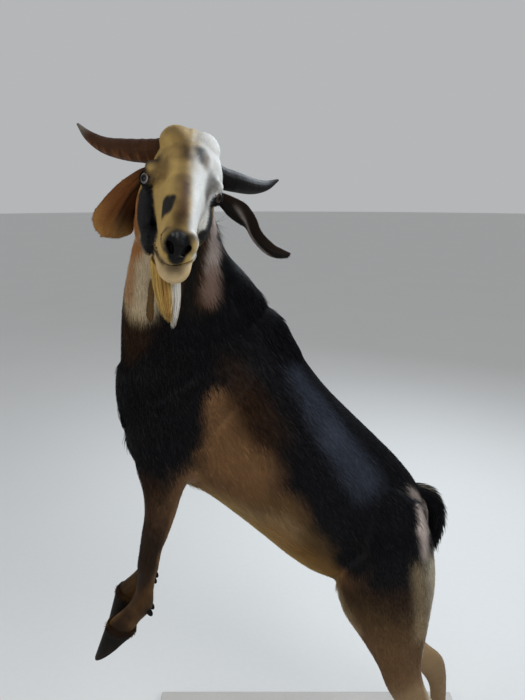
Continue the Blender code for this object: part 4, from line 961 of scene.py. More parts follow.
def grained(tree, shader, colour, fine, coarse, depth, bump, distance):
    # colour times the grain's value into Base Color, and the grain's height into the normal
    place = nodeOf(tree, "ShaderNodeTexCoord")
    effectNode = nodeOf(tree, "ShaderNodeGroup", node_tree=grain)
    for key, value in (("Fine", fine), ("Coarse", coarse), ("Depth", depth)):
        effectNode.inputs[key].default_value = value
    join(tree, place, "Object", effectNode, "Vector")
    shade = nodeOf(tree, "ShaderNodeVectorMath", operation="SCALE")
    if isinstance(colour, tuple):
        shade.inputs[0].default_value = colour
    else:
        tree.links.new(colour, shade.inputs[0])
    join(tree, effectNode, "Value", shade, "Scale")
    join(tree, shade, 0, shader, "Base Color")
    if bump:
        raised = nodeOf(tree, "ShaderNodeBump", {"Strength": bump, "Distance": distance})
        join(tree, effectNode, "Height", raised, "Height")
        join(tree, raised, 0, shader, "Normal")
    return effectNode


def tintedFinish(name, roughness, fine, coarse, depth, bump=0, distance=0, **values):
    # a material whose colour is the piece's own tint, with grain
    made, tree, shader = finish(name, roughness, **values)
    tint = nodeOf(tree, "ShaderNodeAttribute", attribute_name="tint").outputs["Color"]
    effectNode = grained(tree, shader, tint, fine, coarse, depth, bump, distance)
    return made, tree, shader, effectNode


def hideFinish():
    # the same markings on the hide, with the bare nose wet and pebbled
    made, tree, shader, effectNode = tintedFinish("hide", 0.6, 700, 60, 0.5, 0.5, 0.0006,
                                                  Specular_IOR_Level=0.16)
    bareShare = nodeOf(tree, "ShaderNodeAttribute", attribute_name="bare").outputs["Fac"]
    rough = nodeOf(tree, "ShaderNodeMapRange", {"To Min": 0.62, "To Max": 0.24})
    tree.links.new(bareShare, rough.inputs["Value"])
    join(tree, rough, 0, shader, "Roughness")
    pebble = nodeOf(tree, "ShaderNodeTexVoronoi", {"Scale": 520.0})
    place = nodeOf(tree, "ShaderNodeTexCoord")
    join(tree, place, "Object", pebble, "Vector")
    mixed = nodeOf(tree, "ShaderNodeMix", data_type="FLOAT")
    tree.links.new(bareShare, mixed.inputs["Factor"])
    join(tree, effectNode, "Height", mixed, 2)
    join(tree, pebble, "Distance", mixed, 3)
    raised = nodeOf(tree, "ShaderNodeBump", {"Strength": 0.20, "Distance": 0.0005})
    join(tree, mixed, 0, raised, "Height")
    join(tree, raised, 0, shader, "Normal")
    return made


coatMaterial = tintedFinish("coat", 0.55, 260, 38, 0.40, Specular_IOR_Level=0.08)[0]
hideMaterial = hideFinish()


def setColours(thing, name, colours):
    # one colour for each point of a mesh
    layer = thing.data.attributes.new(name, "FLOAT_COLOR", "POINT")
    rgba = np.concatenate([np.clip(colours, 0, 1), np.ones((len(colours), 1))], axis=1)
    layer.data.foreach_set("color", rgba.astype(np.float32).ravel())


def setShares(thing, name, values):
    layer = thing.data.attributes.new(name, "FLOAT", "POINT")
    layer.data.foreach_set("value", values.astype(np.float32))


def settle(thing, material, slot, *nodes):
    # finish, slot (not used), body and replaced nodes of a piece
    thing.data.materials.clear()
    thing.data.materials.append(material)
    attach(thing, "root")
    if nodes:
        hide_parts(*nodes)
    return thing


hide = meshObject("hide", points, faces)
hide.data.validate()
setColours(hide, "tint", hideColour)
setShares(hide, "bare", bare)
settle(hide, hideMaterial, "black_coat", "torso", "neck", "head", "foreleg_left", "foreleg_right",
       "hindleg_left", "hindleg_right")
print("hide:", len(faces), "triangles")

hornForm = {
    "rings": 230,
    "sides": 56,
    "ridges": 11,         # growth rings from root to tip
    "ridgeHeight": {"right": 0.030, "left": 0.016},
    "dark": {"right": (0.028, 0.012, 0.006), "left": (0.006, 0.005, 0.005)},
    "light": {"right": (0.22, 0.090, 0.032), "left": (0.018, 0.014, 0.013)},
    "tip": {"right": (0.14, 0.13, 0.11), "left": (0.016, 0.016, 0.018)},
}


def hornPiece(word, side):
    # an oval tube on the horn's path; radius times 1 + ridges that fade to the tip, and a keel in front
    table = smoothRows(hornRows[word], hornForm["rings"])
    places = onHead(table[:, 0:3] * (1, side, 1))
    share = np.linspace(0, 1, len(table))[:, None]
    angle = roundTurns(hornForm["sides"])[None, :]
    uneven = ragged(np.concatenate([places, places + 0.5]))[:len(places), None]
    wave = np.sin(2 * np.pi * (hornForm["ridges"] * share**0.9 + 0.14 * np.sin(angle + side) + 0.45 * uneven))
    wave *= 0.35 + 0.65 * np.sin(2.3 * angle + 9 * share + 4 * uneven) ** 2
    ridge = wave * hornForm["ridgeHeight"][word] * (1 - share) ** 0.6
    ridge *= 0.65 + 0.35 * np.cos(angle - 0.6)
    keel = 0.07 * np.exp(-((angle - 1.2) / 0.5) ** 2) * (1 - share)
    fine = 0.008 * np.sin(angle * 14 + 3 * share)
    radii = table[:, 3:4] * (1 + ridge + keel + fine)
    along = unit(np.gradient(places, axis=0))
    lift = unit(headAxes[2] - along * (along @ headAxes[2])[:, None])
    out = np.cross(along, lift)
    rings = ringsAbout(places, lift, out, radii * 0.94 * np.cos(angle), radii * 1.04 * np.sin(angle))
    thing = meshObject("horn_" + word, *closedTube(rings))
    dark, light, tipTint = (np.array(hornForm[key][word]) for key in ("dark", "light", "tip"))
    beneath = softStep(0.35, -0.75, np.cos(angle)) + 0 * share
    tint = dark + (0.08 + (0.30 + 0.45 * wave.clip(-0.6, 1)) * beneath)[:, :, None] * (light - dark)
    tip = softStep(0.72, 1.0, share)[:, :, None]
    setColours(thing, "tint", withEnds((tint + tip * (tipTint - tint)).reshape(-1, 3)))
    return thing


hornMaterial = tintedFinish("horn", 0.50, 420, 50, 0.9, 0.35, 0.0008, Specular_IOR_Level=0.06)[0]
for word, side in (("left", 1), ("right", -1)):
    settle(hornPiece(word, side), hornMaterial, "horn", "horn_" + word)
print("horns grown")

earForm = {
    "rings": 90,
    "across": 41,
    "thickness": 0.0034,
    "crinkle": 0.0007,
}


def earPiece(word, side):
    # a cupped leaf between its two edges, front and back sheets apart by the thickness
    table = smoothRows(earRows[word], earForm["rings"])
    front = onHead(table[:, 0:3] * (1, side, 1))
    back = onHead(table[:, 3:6] * (1, side, 1))
    middle, wide = (front + back) / 2, (front - back) / 2
    out = unit(np.cross(np.gradient(middle, axis=0), wide)) * side
    place = np.linspace(-1, 1, earForm["across"])
    share = np.linspace(0, 1, earForm["rings"])[:, None]
    cup = table[:, 6:7] * (0.5 - place**2)
    vein = earForm["crinkle"] * (np.sin(9 * place + 5 * share) + 0.6 * np.sin(17 * place - 9 * share))
    vein = vein * softStep(0, 0.2, share) * (1 - place**2)
    sheet = ringsAbout(middle, wide, out, place[None, :], cup + vein)
    half = earForm["thickness"] / 2 * (1 - 0.6 * np.abs(place) ** 3)
    offset = out[:, None, :] * half[None, :, None]
    rings = np.concatenate([sheet + offset, (sheet - offset)[:, ::-1]], axis=1)
    return closedTube(rings), table


earColours = {
    # main, nearer the face, edge, fold
    "left": ("ebony", "mauve", "ebony", "umber"),
    "right": ("rust", "brown", "ochre", "umber"),
}


def earColour(word, share, place):
    # share runs from root to tip, place from the back edge to the front one
    mainKey, nearKey, edgeKey, foldKey = earColours[word]
    tint = np.tile(palette[mainKey], (len(share), 1))
    if word == "right":
        near = softStep(0.0, -0.35, place)
        layers = [(nearKey, 0.75 * near), (foldKey, 0.90 * near * softStep(0.40, 0.70, share)),
                  (foldKey, 0.85 * np.exp(-((place + 0.08 + 0.25 * (share - 0.5)) / 0.13)**2)),
                  (foldKey, 0.85 * (1 - softStep(0.08, 0.42, share))),
                  (edgeKey, 0.60 * softStep(0.55, 0.95, share)),
                  (edgeKey, 0.70 * softStep(0.35, 0.95, place) * softStep(0.45, 0.8, share))]
    else:
        strip = np.exp(-((place - 0.50 + 1.7 * (share - 0.35)) / 0.15) ** 2)
        layers = [(foldKey, 0.6 * softStep(0.2, 0.9, np.abs(place))),
                  (nearKey, 0.55 * strip * softStep(0.22, 0.36, share) * softStep(0.86, 0.70, share))]
    return layered(tint, layers)


def strandRings(rows, rings, sides):
    # round rings down a path, radius from the rows
    table = smoothRows(rows, rings)
    centre, radius = table[:, 0:3], np.maximum(table[:, 3], 0.0005)
    along = unit(np.gradient(centre, axis=0))
    first = unit(np.cross(along, np.array([[1.0, 0.2, 0.0]])))
    second = np.cross(along, first)
    angle = roundTurns(sides)
    return ringsAbout(centre, first, second, radius[:, None] * np.cos(angle), radius[:, None] * np.sin(angle))


def tailTable(count):
    # down the tail's middle line: places, the way outward, half thickness, half width and the way along
    table = smoothRows([(x, 0, z, thick, half) for x, z, thick, half in tailRows], count)
    heading = unit(np.gradient(table[:, 0:3], axis=0))
    return table[:, 0:3], np.cross(heading, acrossBody), table[:, 3:4], table[:, 4:5], heading


def tailRings(rings, sides, inset):
    # ovals round the tail's middle line, smaller by inset
    centre, lift, thick, half = tailTable(rings)[:4]
    angle = roundTurns(sides)
    return ringsAbout(centre, lift, acrossBody, np.maximum(thick - inset, 0.002) * np.cos(angle),
                      np.maximum(half - inset, 0.002) * np.sin(angle))


def sampled(points, faces, spacing, seed, keep=None):
    # roots spread over the faces by area over spacing squared, as faces and shares of their corners
    draw = np.random.default_rng(seed)
    a, b, c = (points[faces[:, n]] for n in range(3))
    area = np.linalg.norm(np.cross(b - a, c - a), axis=1) / 2
    wanted = area / spacing[faces].mean(axis=1) ** 2
    if keep is not None:
        wanted = wanted * keep[faces].mean(axis=1)
    count = int(wanted.sum())
    edges = np.cumsum(wanted)
    ladder = (np.arange(count) + draw.uniform(0, 1, count)) * edges[-1] / count
    chosen = np.minimum(np.searchsorted(edges, ladder), len(faces) - 1)
    first = np.sqrt(draw.uniform(0, 1, count))
    second = draw.uniform(0, 1, count)
    shares = np.stack([1 - first, first * (1 - second), first * second], -1)
    return chosen, shares


def readAt(values, faces, chosen, shares):
    # a value of the points, read at the roots by the shares of each face's corners
    corners = values[faces[chosen]]
    return (corners * shares.reshape(shares.shape + (1,) * (corners.ndim - 2))).sum(axis=1)


def taperedHairs(centre, half, top, levels):
    # three-cornered rings along each hair's middle line, closed at its root and drawn to a point;
    # also gives the number of points to a hair
    count, size = len(centre), levels * 3 + 1
    rings = np.stack([centre - half, centre + half, centre + top], axis=2)[:, :-1]
    corners = np.concatenate([rings.reshape(count, levels * 3, 3), centre[:, -1:]], axis=1).reshape(-1, 3)
    pattern = [(0, 2, 1)]
    for here in range(0, levels * 3 - 3, 3):
        for n, m in ((0, 1), (1, 2), (2, 0)):
            pattern += [(here + n, here + m, here + m + 3), (here + n, here + m + 3, here + n + 3)]
    last = levels * 3 - 3
    pattern += [(last + n, last + (n + 1) % 3, levels * 3) for n in range(3)]
    triangles = (np.array(pattern)[None] + (np.arange(count) * size)[:, None, None]).reshape(-1, 3)
    return corners, outward(corners, triangles), size


def tufts(roots, normals, lie, length, width, height, curve, sway, levels, sink):
    # three-cornered tapered tufts as whole arrays. A tuft's middle line runs along its lie by
    # length s, off the hide by height s - sink (1 - s)^2 and down by curve (length s)^2 / 2
    count = len(roots)
    s = np.linspace(0, 1, levels + 1)[None, :, None]
    length, width, height = (np.broadcast_to(v, count)[:, None, None] for v in (length, width, height))
    curve, sway, sink = (np.broadcast_to(v, count)[:, None, None] for v in (curve, sway, sink))
    side = np.cross(lie, normals)
    run = length * s
    rise = height * s - sink * (1 - s) ** 2 - curve * run**2 / 2
    centre = (roots[:, None, :] + lie[:, None, :] * run + normals[:, None, :] * rise
              + side[:, None, :] * (sway * run * s))
    taper = np.cos(0.5 * np.pi * s) ** 0.7 * (0.75 + 0.45 * np.sin(np.pi * s))
    half = side[:, None, :] * (width / 2 * taper)
    top = normals[:, None, :] * (width * 0.30 * taper)
    return taperedHairs(centre, half, top, levels)


def wrapPlace(points, start, end):
    # an unwrap of a form round a line: the turn about it, and the share along it
    start, line = np.asarray(start, float), np.asarray(end, float) - np.asarray(start, float)
    axis = unit(line)
    first = unit(np.cross(axis, (0.2, 1.0, 0.1)))
    second = np.cross(axis, first)
    off = points - start
    turn = np.arctan2(off @ second, off @ first) / (2 * np.pi) + 0.5
    along = (off @ axis) / np.linalg.norm(line)
    low, high = along.min(), along.max()
    return np.stack([0.01 + 0.98 * turn, 0.01 + 0.98 * (along - low) / max(high - low, 1e-6)], -1)


def coatPiece(name, made, rootColours, tipLight, place, rootNormals, soft=0.7):
    # joins tufts as one piece, its colour lighter to the tips, each tuft a patch on OFBake;
    # the tufts are shaded partly by the hide's own normals, as sleek hair is
    corners, triangles, size = made
    thing = meshObject(name, corners, triangles)
    shading = thing.data.attributes.new("custom_normal", "FLOAT_VECTOR", "POINT")
    mixed = unit(soft * np.repeat(rootNormals, size, axis=0) + (1 - soft) * normalsOf(corners, triangles))
    shading.data.foreach_set("vector", mixed.astype(np.float32).ravel())
    share = np.minimum(np.arange(size) // 3 / ((size - 1) / 3), 1)[None, :, None]
    tint = rootColours[:, None, :] * (1 + tipLight * (share - 0.4))
    setColours(thing, "tint", tint.reshape(-1, 3))
    step = np.stack([(np.arange(size) % 3 - 1) * 0.0012, (share[0, :, 0] - 0.5) * 0.003], -1)
    step[-1, 0] = 0
    patches = (place[:, None, :] + step[None]).reshape(-1, 2)
    layer = thing.data.uv_layers.new(name="OFBake")
    layer.data.foreach_set("uv", patches[triangles.ravel()].astype(np.float32).ravel())
    thing.data.materials.append(coatMaterial)
    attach(thing, "root")
    return thing


coatAreas = {
    # piece: its zones, side or None, and the line that its unwrap turns about
    "coat_head": (("poll", "face", "muzzle", "cheek", "jaw"), None,
                  onHead((-0.06, 0, -0.04)), onHead((0.27, 0, -0.07))),
    "coat_neck": (("throat", "nape"), None, (-0.28, -0.10, 1.46), (-0.28, 0, 1.20)),
    "coat_breast": (("breast",), None, (-0.34, 0, 1.16), (-0.30, 0, 0.90)),
    "coat_shoulder_left": (("shoulder",), -1, (-0.27, 0, 1.15), (-0.33, 0, 0.85)),
    "coat_shoulder_right": (("shoulder",), 1, (-0.27, 0, 1.15), (-0.33, 0, 0.85)),
    "coat_back": (("back",), None, (-0.16, 0, 1.15), (0.16, 0, 0.80)),
    "coat_side_left": (("side",), -1, (-0.20, 0, 1.10), (0.12, 0, 0.75)),
    "coat_side_right": (("side",), 1, (-0.20, 0, 1.10), (0.12, 0, 0.75)),
    "coat_belly": (("belly",), None, (-0.25, 0, 0.95), (0.10, 0, 0.75)),
    "coat_rump": (("rump",), None, (0.15, 0, 0.88), (0.15, 0, 0.62)),
    "coat_thigh_left": (("thigh",), -1, (0.13, -0.09, 0.75), (0.16, -0.09, 0.50)),
    "coat_thigh_right": (("thigh",), 1, (0.13, 0.09, 0.75), (0.16, 0.09, 0.50)),
    "coat_hindleg_left": (("shank", "pastern"), -1, (0.20, -0.09, 0.50), (0.23, -0.09, 0.05)),
    "coat_hindleg_right": (("shank", "pastern", "farShank", "farPastern"), 1,
                           (0.22, 0.09, 0.50), (0.33, 0.09, 0.05)),
    "coat_foreleg_left": (("forearm", "knee"), -1, (-0.335, -0.09, 0.90), (-0.42, -0.09, 0.55)),
    "coat_foreleg_right": (("forearm", "knee", "farKnee"), 1, (-0.335, 0.06, 0.90), (-0.42, -0.03, 0.55)),
}

shortCoat = {
    "tip": 0.10,          # how much lighter the tips are
    "uneven": 0.08,       # spread of lightness between tufts
    "paintedGlint": 0.50,   # the same in the dark coat: painted glints here and there
    "stray": 0.08,        # how far tufts swing aside
    "sink": 0.0012,       # how deep their roots are in the hide
    "eyeGap": (0.0150, 0.0166),    # the coat begins between these distances from an eye's middle
    "lipGap": (0.0007, 0.0018),    # and from the line between the lips, forward of mouthEnd
    "mouthEnd": 0.195,
}


def growCoat():
    # tufts over the whole hide, shared out among the areas by the strongest zone of each root
    left, right = (np.linalg.norm(points - onHead(eyePlace[word]), axis=1) for word in ("left", "right"))
    eyes = np.minimum(left, right)
    local = toHead(points)
    lips = np.abs(local[:, 2] - lipLine["height"] - lipLine["tilt"] * local[:, 1])
    lips = lips + 0.1 * (local[:, 0] < shortCoat["mouthEnd"])
    keep = (1 - softStep(0.2, 0.6, bare)) * softStep(*shortCoat["eyeGap"], eyes)
    keep = keep * softStep(*shortCoat["lipGap"], lips)
    chosen, shares = sampled(points, faces, sizes[:, 3], 21, keep)
    roots, turned, ways, kinds, bends, strengths = (
        readAt(values, faces, chosen, shares) for values in (points, normals, lie, sizes, bend, zones))
    turned = unit(turned)
    ways = laidOn(ways, turned)
    draw = np.random.default_rng(22)
    count = len(roots)
    ways = unit(ways + np.cross(turned, ways) * draw.normal(0, shortCoat["stray"], (count, 1)))
    length = kinds[:, 0] * draw.uniform(0.75, 1.2, count)
    width = kinds[:, 1] * draw.uniform(0.75, 1.25, count)
    height = kinds[:, 2] * draw.uniform(0.65, 1.25, count)
    colours = coatColour(roots)
    # dark tufts spread more in lightness: painted glints on the black coat
    dark = softStep(0.06, 0.03, colours.max(axis=1, keepdims=True))
    spread = shortCoat["uneven"] + (shortCoat["paintedGlint"] - shortCoat["uneven"]) * dark
    colours = colours * np.exp(spread * draw.normal(0, 1, (count, 1)).clip(-2, 2))
    area = strengths.argmax(axis=1)
    side = np.where(roots[:, 1] < 0, -1, 1)
    zoneSide = np.array([1 if row[0] == "farKnee" or (row[1] + row[2])[1] > 0 else -1 for row in zoneTable])
    total = 0
    for name, (wanted, half, start, end) in coatAreas.items():
        inside = np.isin(area, [i for i, row in enumerate(zoneTable) if row[0] in wanted])
        if half is not None:
            inside &= zoneSide[area] == half if name.startswith("coat_fore") else side == half
        swing = draw.normal(0, 0.12, inside.sum())
        made = tufts(*(values[inside] for values in (roots, turned, ways, length, width, height, bends)),
                     swing, 1, shortCoat["sink"])
        coatPiece(name, made, colours[inside], shortCoat["tip"], wrapPlace(roots[inside], start, end),
                  turned[inside])
        total += len(made[1])
        print(name, len(made[1]), "triangles")
    return total


print("coat:", growCoat(), "triangles")


def finePiece(name, rings, tint, seed, hair, lieLine, wrap):
    # a closed form with its own short coat: the skin, then tufts that lie along one way,
    # or along the ways that a function gives for their roots
    skinPoints, skinFaces = closedTube(rings)
    thing = meshObject(name, skinPoints, skinFaces)
    setColours(thing, "tint", tint)
    setShares(thing, "bare", np.zeros(len(tint)))
    settle(thing, hideMaterial, "black_coat", name)
    skinNormals = normalsOf(skinPoints, skinFaces)
    spacing = np.full(len(skinPoints), hair["spacing"])
    chosen, shares = sampled(skinPoints, skinFaces, spacing, seed)
    roots, turned, colours = (readAt(v, skinFaces, chosen, shares) for v in (skinPoints, skinNormals, tint))
    draw = np.random.default_rng(seed + 1)
    count = len(roots)
    turned = unit(turned)
    way = lieLine(roots) if callable(lieLine) else lieLine
    way = laidOn(way + draw.normal(0, 0.15, (count, 3)), turned)
    length = hair["length"] * draw.uniform(0.7, 1.2, count)
    width = hair["width"] * draw.uniform(0.8, 1.2, count)
    height = hair["height"] * draw.uniform(0.6, 1.3, count)
    swing = draw.normal(0, 0.12, count)
    made = tufts(roots, turned, way, length, width, height, 0.0, swing, hair["levels"], 0.0008)
    colours = colours * (1 + 0.2 * draw.normal(0, 1, (count, 1)).clip(-2, 2))
    coatPiece("coat_" + name, made, colours, hair["tip"], wrapPlace(roots, *wrap), turned)


def oneColour(rings, key):
    # one named colour for every point of a tube
    return np.tile(palette[key], (rings.shape[0] * rings.shape[1] + 2, 1))


earHair = {"length": 0.005, "width": 0.0014, "height": 0.0010, "spacing": 0.0019, "levels": 1, "tip": 0.25}
for word, side in (("left", 1), ("right", -1)):
    (earPoints, _), table = earPiece(word, side)
    across, rows = earForm["across"], earForm["rings"]
    place = np.concatenate([np.linspace(-1, 1, across), np.linspace(1, -1, across)])
    share = np.repeat(np.linspace(0, 1, rows), 2 * across)
    tint = withEnds(earColour(word, share, np.tile(place, rows)))
    rings = earPoints[:rows * 2 * across].reshape(rows, 2 * across, 3)
    root, tip = onHead(table[0, 0:3] * (1, side, 1)), onHead(table[-1, 0:3] * (1, side, 1))
    finePiece("ear_" + word, rings, tint, 31 + side, earHair, unit(tip - root), (root, tip))
print("ears made")

wattleHair = {"length": 0.009, "width": 0.0014, "height": 0.0012, "spacing": 0.0020, "levels": 1, "tip": 0.2}
for word, colour in (("left", "umber"), ("right", "dun")):
    rings = strandRings(wattleRows[word], 60, 24)
    finePiece("wattle_" + word, rings, oneColour(rings, colour), 41, wattleHair, down,
              (rings[0, 0], rings[-1, 0]))

scrotumHair = {"length": 0.010, "width": 0.0018, "height": 0.0016, "spacing": 0.0026, "levels": 1, "tip": 0.2}
rings = strandRings(scrotumRows, 90, 48)
places = rings.reshape(-1, 3)
cleft = 1 - 0.10 * np.exp(-(places[:, 1] / 0.006) ** 2) * softStep(0.60, 0.56, places[:, 2])
axisX = np.interp(places[:, 2], [row[2] for row in scrotumRows][::-1], [row[0] for row in scrotumRows][::-1])
places = np.stack([axisX + (places[:, 0] - axisX) * cleft, places[:, 1], places[:, 2]], -1)
finePiece("scrotum", places.reshape(rings.shape), oneColour(rings, "tan"), 51, scrotumHair, down,
          ((0.14, 0, 0.66), (0.134, 0, 0.51)))

eyeForm = {
    "rings": 90,
    "sides": 96,
    "iris": 0.60,           # radians from the look
    "pupil": (0.60, 0.44),  # half width and half height, in shares of the iris
    # the left eye's colours are the right eye's darkened: painted shade, as the left eye lies in deep shadow
    "amber": {"left": (0.030, 0.017, 0.008), "right": (0.060, 0.045, 0.030)},
    "ring": {"left": (0.050, 0.040, 0.032), "right": (0.24, 0.25, 0.26)},
    "dark": {"left": (0.003,) * 3, "right": (0.003,) * 3},
    "white": {"left": (0.015, 0.011, 0.009), "right": (0.040, 0.028, 0.020)},
    "bulge": 0.0009,
}


def eyePiece(word, side):
    # a ball whose front is raised over the iris; the pupil is a level bar with round ends
    look = eyeAxes(side)[2]
    polar = np.linspace(0.004, np.pi - 0.004, eyeForm["rings"])[:, None]
    turn = roundTurns(eyeForm["sides"])[None, :]
    raised = eyeForm["bulge"] * np.exp(-(polar / eyeForm["iris"]) ** 4) + 0 * turn
    radius = eyePlace["radius"] - 0.0004 + raised
    level = unit(np.cross(look, np.array([0, 0, 1.0])))
    upright = np.cross(level, look)
    direction = (look * np.cos(polar)[:, :, None] + level * (np.sin(polar) * np.cos(turn))[:, :, None]
                 + upright * (np.sin(polar) * np.sin(turn))[:, :, None])
    rings = onHead(eyePlace[word]) + direction * radius[:, :, None]
    share = polar / eyeForm["iris"] + 0 * turn
    a, b = share * np.cos(turn), share * np.sin(turn)
    wide, high = eyeForm["pupil"]
    bar = np.sqrt(np.maximum(np.abs(a) - (wide - high), 0) ** 2 + b**2) / high
    colours = {key: np.array(eyeForm[key][word]) for key in ("amber", "ring", "dark", "white")}
    spokes = 0.5 + 0.5 * np.sin(turn * 40 + 3 * np.sin(share * 9))
    iris = colours["amber"] * (0.7 + 0.6 * spokes)[:, :, None]
    iris = iris + softStep(0.62, 0.90, share)[:, :, None] * (colours["ring"] - iris)
    tint = iris + softStep(0.93, 1.0, share)[:, :, None] * (colours["dark"] * 3 - iris)
    tint = tint + softStep(1.02, 1.14, share)[:, :, None] * (colours["white"] - tint)
    tint = tint + (1 - softStep(0.90, 1.06, bar))[:, :, None] * (colours["dark"] - tint)
    thing = meshObject("eye_" + word, *closedTube(rings))
    setColours(thing, "tint", withEnds(tint.reshape(-1, 3)))
    return thing


eyeMaterial = tintedFinish("eye", 0.05, 900, 200, 0.35, Specular_IOR_Level=0.06, Coat_Weight=0.08,
                           Coat_Roughness=0.02)[0]
for word, side in (("left", 1), ("right", -1)):
    settle(eyePiece(word, side), eyeMaterial, "eye", "eye_" + word)
print("eyes set")

hoofForm = {
    "levels": 40,
    "around": 40,
    "cleft": 0.0012,
    "rings": 9,
    "ringHeight": 0.00022,
    "wall": (0.005, 0.004, 0.0035),
    "worn": (0.028, 0.021, 0.016),
    "fetlock": {"hind": 12, "fore": 10},    # the row of the leg at its fetlock
}


def clawRings(coronet, sole, side):
    # one half hoof from its coronet to its sole: flat inside, round outside, with low growth rings
    gap = coronetPlane(coronet)[1] * 0.0006
    level = np.linspace(0, 1, hoofForm["levels"])[:, None]
    front = coronet[0:3] + gap + (sole[0:3] - coronet[0:3] - gap) * level
    back = coronet[3:6] + gap + (sole[3:6] - coronet[3:6] - gap) * level
    half = coronet[6] + (sole[6] - coronet[6]) * level
    ring = hoofForm["ringHeight"] * np.sin(2 * np.pi * hoofForm["rings"] * level) * (1 - level)
    edge = 1 - 0.05 * softStep(0.94, 1.0, level) - 0.03 * softStep(0.06, 0.0, level)
    middle, reach = (front + back) / 2, (front - back) / 2 * edge
    turn = np.linspace(0, np.pi, hoofForm["around"])[None, :]
    spread = hoofForm["cleft"] + ((half - hoofForm["cleft"]) * edge + ring) * np.sin(turn) ** 0.8
    outer = ringsAbout(middle, reach, acrossBody, np.cos(turn), side * spread)
    inside = np.linspace(-0.9, 0.9, 9)[None, :, None]
    inner = middle[:, None, :] + reach[:, None, :] * inside + np.array([0, side * hoofForm["cleft"], 0])
    return np.concatenate([outer, inner], axis=1)


def dewclawRings(row, side):
    # a small blunt claw behind the fetlock
    back = row[3:6] + np.array([-0.006, side * 0.0100, -0.003])
    slope = unit(np.array([[0.45, 0, -0.89], [0, 1.0, 0], [0.89, 0, 0.45]]))
    return ovalBall(back, (0.0120, 0.0052, 0.0062), slope, sides=24, count=16)


hoofMaterial = tintedFinish("hoof", 0.55, 500, 70, 0.7, 0.4, 0.0006, Specular_IOR_Level=0.08)[0]
for key, (rows, (coronet, sole)) in legs.items():
    for side, word in ((-1, "_a"), (1, "_b")):
        name = "hoof_" + key + word
        rings = clawRings(coronet, sole, side)
        thing = meshObject(name, *closedTube(rings))
        levels = np.repeat(np.linspace(0, 1, rings.shape[0]), rings.shape[1])
        share = 0.35 + 0.65 * softStep(0.5, 1.0, levels) + 0.25 * ragged(rings.reshape(-1, 3))
        wall, worn = np.array(hoofForm["wall"]), np.array(hoofForm["worn"])
        tint = wall + share[:, None].clip(0, 1) * 0.5 * (worn - wall)
        setColours(thing, "tint", withEnds(tint))
        settle(thing, hoofMaterial, "hoof", name)
    fetlock = rows[hoofForm["fetlock"][key[:4]]]
    claws = merged([closedTube(dewclawRings(fetlock, side)) for side in (-1, 1)])
    thing = meshObject("dewclaws_" + key, *claws)
    setColours(thing, "tint", np.tile(hoofForm["wall"], (len(claws[0]), 1)))
    settle(thing, hoofMaterial, "hoof")
print("hooves made")


def strands(name, roots, ways, flats, length, width, bend, colours, seed, tip, wrap, levels=6):
    # long tapered strands: root + way length s + bend length s^2, with a flat three-cornered section
    count = len(roots)
    draw = np.random.default_rng(seed)
    s = np.linspace(0, 1, levels + 1)[None, :, None]
    length = (length * draw.uniform(0.75, 1.1, count))[:, None, None]
    turn = s * draw.uniform(2, 5, (count, 1, 1)) + draw.uniform(0, 6, (count, 1, 1))
    wave = np.sin(turn) * 0.02 * length * s
    side = unit(np.cross(ways, flats))
    centre = (roots[:, None, :] + ways[:, None, :] * length * s + bend[:, None, :] * length * s**2
              + side[:, None, :] * wave)
    heading = unit(ways[:, None, :] + 2 * bend[:, None, :] * s)
    across = unit(np.cross(heading, flats[:, None, :]))
    rise = np.cross(across, heading)
    taper = np.cos(0.5 * np.pi * s) ** 0.6
    half = across * (width / 2 * taper)
    top = rise * (width * 0.35 * taper)
    colours = colours * (1 + 0.15 * draw.normal(0, 1, (count, 1)).clip(-2, 2))
    made = taperedHairs(centre, half, top, levels)
    coatPiece(name, made, colours, tip, wrapPlace(roots, *wrap), flats, 0.4)


beardForm = {
    "strands": 2600,
    "root": (0.203, -0.012, -0.106),    # head place of its middle
    "reach": (0.024, 0.0195),           # forward and to the side
    "length": 0.094,
    "sway": 0.003,                      # how far its end swings to the head's left
    "end": 0.40,                        # width at the end, in shares of the root's
    "width": 0.0022,
}


def growBeard():
    # strands from an oval under the chin: each starts down and bends to its place in a smaller oval
    draw = np.random.default_rng(61)
    count = beardForm["strands"]
    radius, turn = np.sqrt(draw.uniform(0, 1, count)), draw.uniform(0, 2 * np.pi, count)
    forward, aside = beardForm["reach"]
    across = np.stack([forward * radius * np.cos(turn), aside * radius * np.sin(turn), 0 * radius], -1)
    roots = onHead(np.array(beardForm["root"]) + across)
    length = beardForm["length"]
    finish = (onHead(beardForm["root"]) + down * length + headAxes[1] * beardForm["sway"]
              + across * beardForm["end"] @ headAxes)
    way = unit(down + (across * 6.0) @ headAxes)
    bend = (finish - roots) / length - way
    flat = unit(headAxes[0] + headAxes[1] * draw.normal(0, 0.3, (count, 1)))
    place = across[:, 1] / beardForm["reach"][1]
    colours = np.tile(palette["cream"], (count, 1)) * (1.15, 1.10, 1.0)
    place = place + draw.normal(0, 0.04, count)
    colours = layered(colours, [("ochre", 0.80 * np.exp(-((place + 0.05) / 0.25)**2)),
                                ("white", 0.85 * softStep(0.20, 0.60, place))])
    length = length * (0.90 + 0.12 * softStep(0.1, 0.6, place) - 0.10 * radius)
    strands("beard", roots, way, flat, length, beardForm["width"], bend, colours, 62, 0.1,
            (onHead((0.21, 0, -0.10)), onHead((0.21, 0, -0.13))))


growBeard()

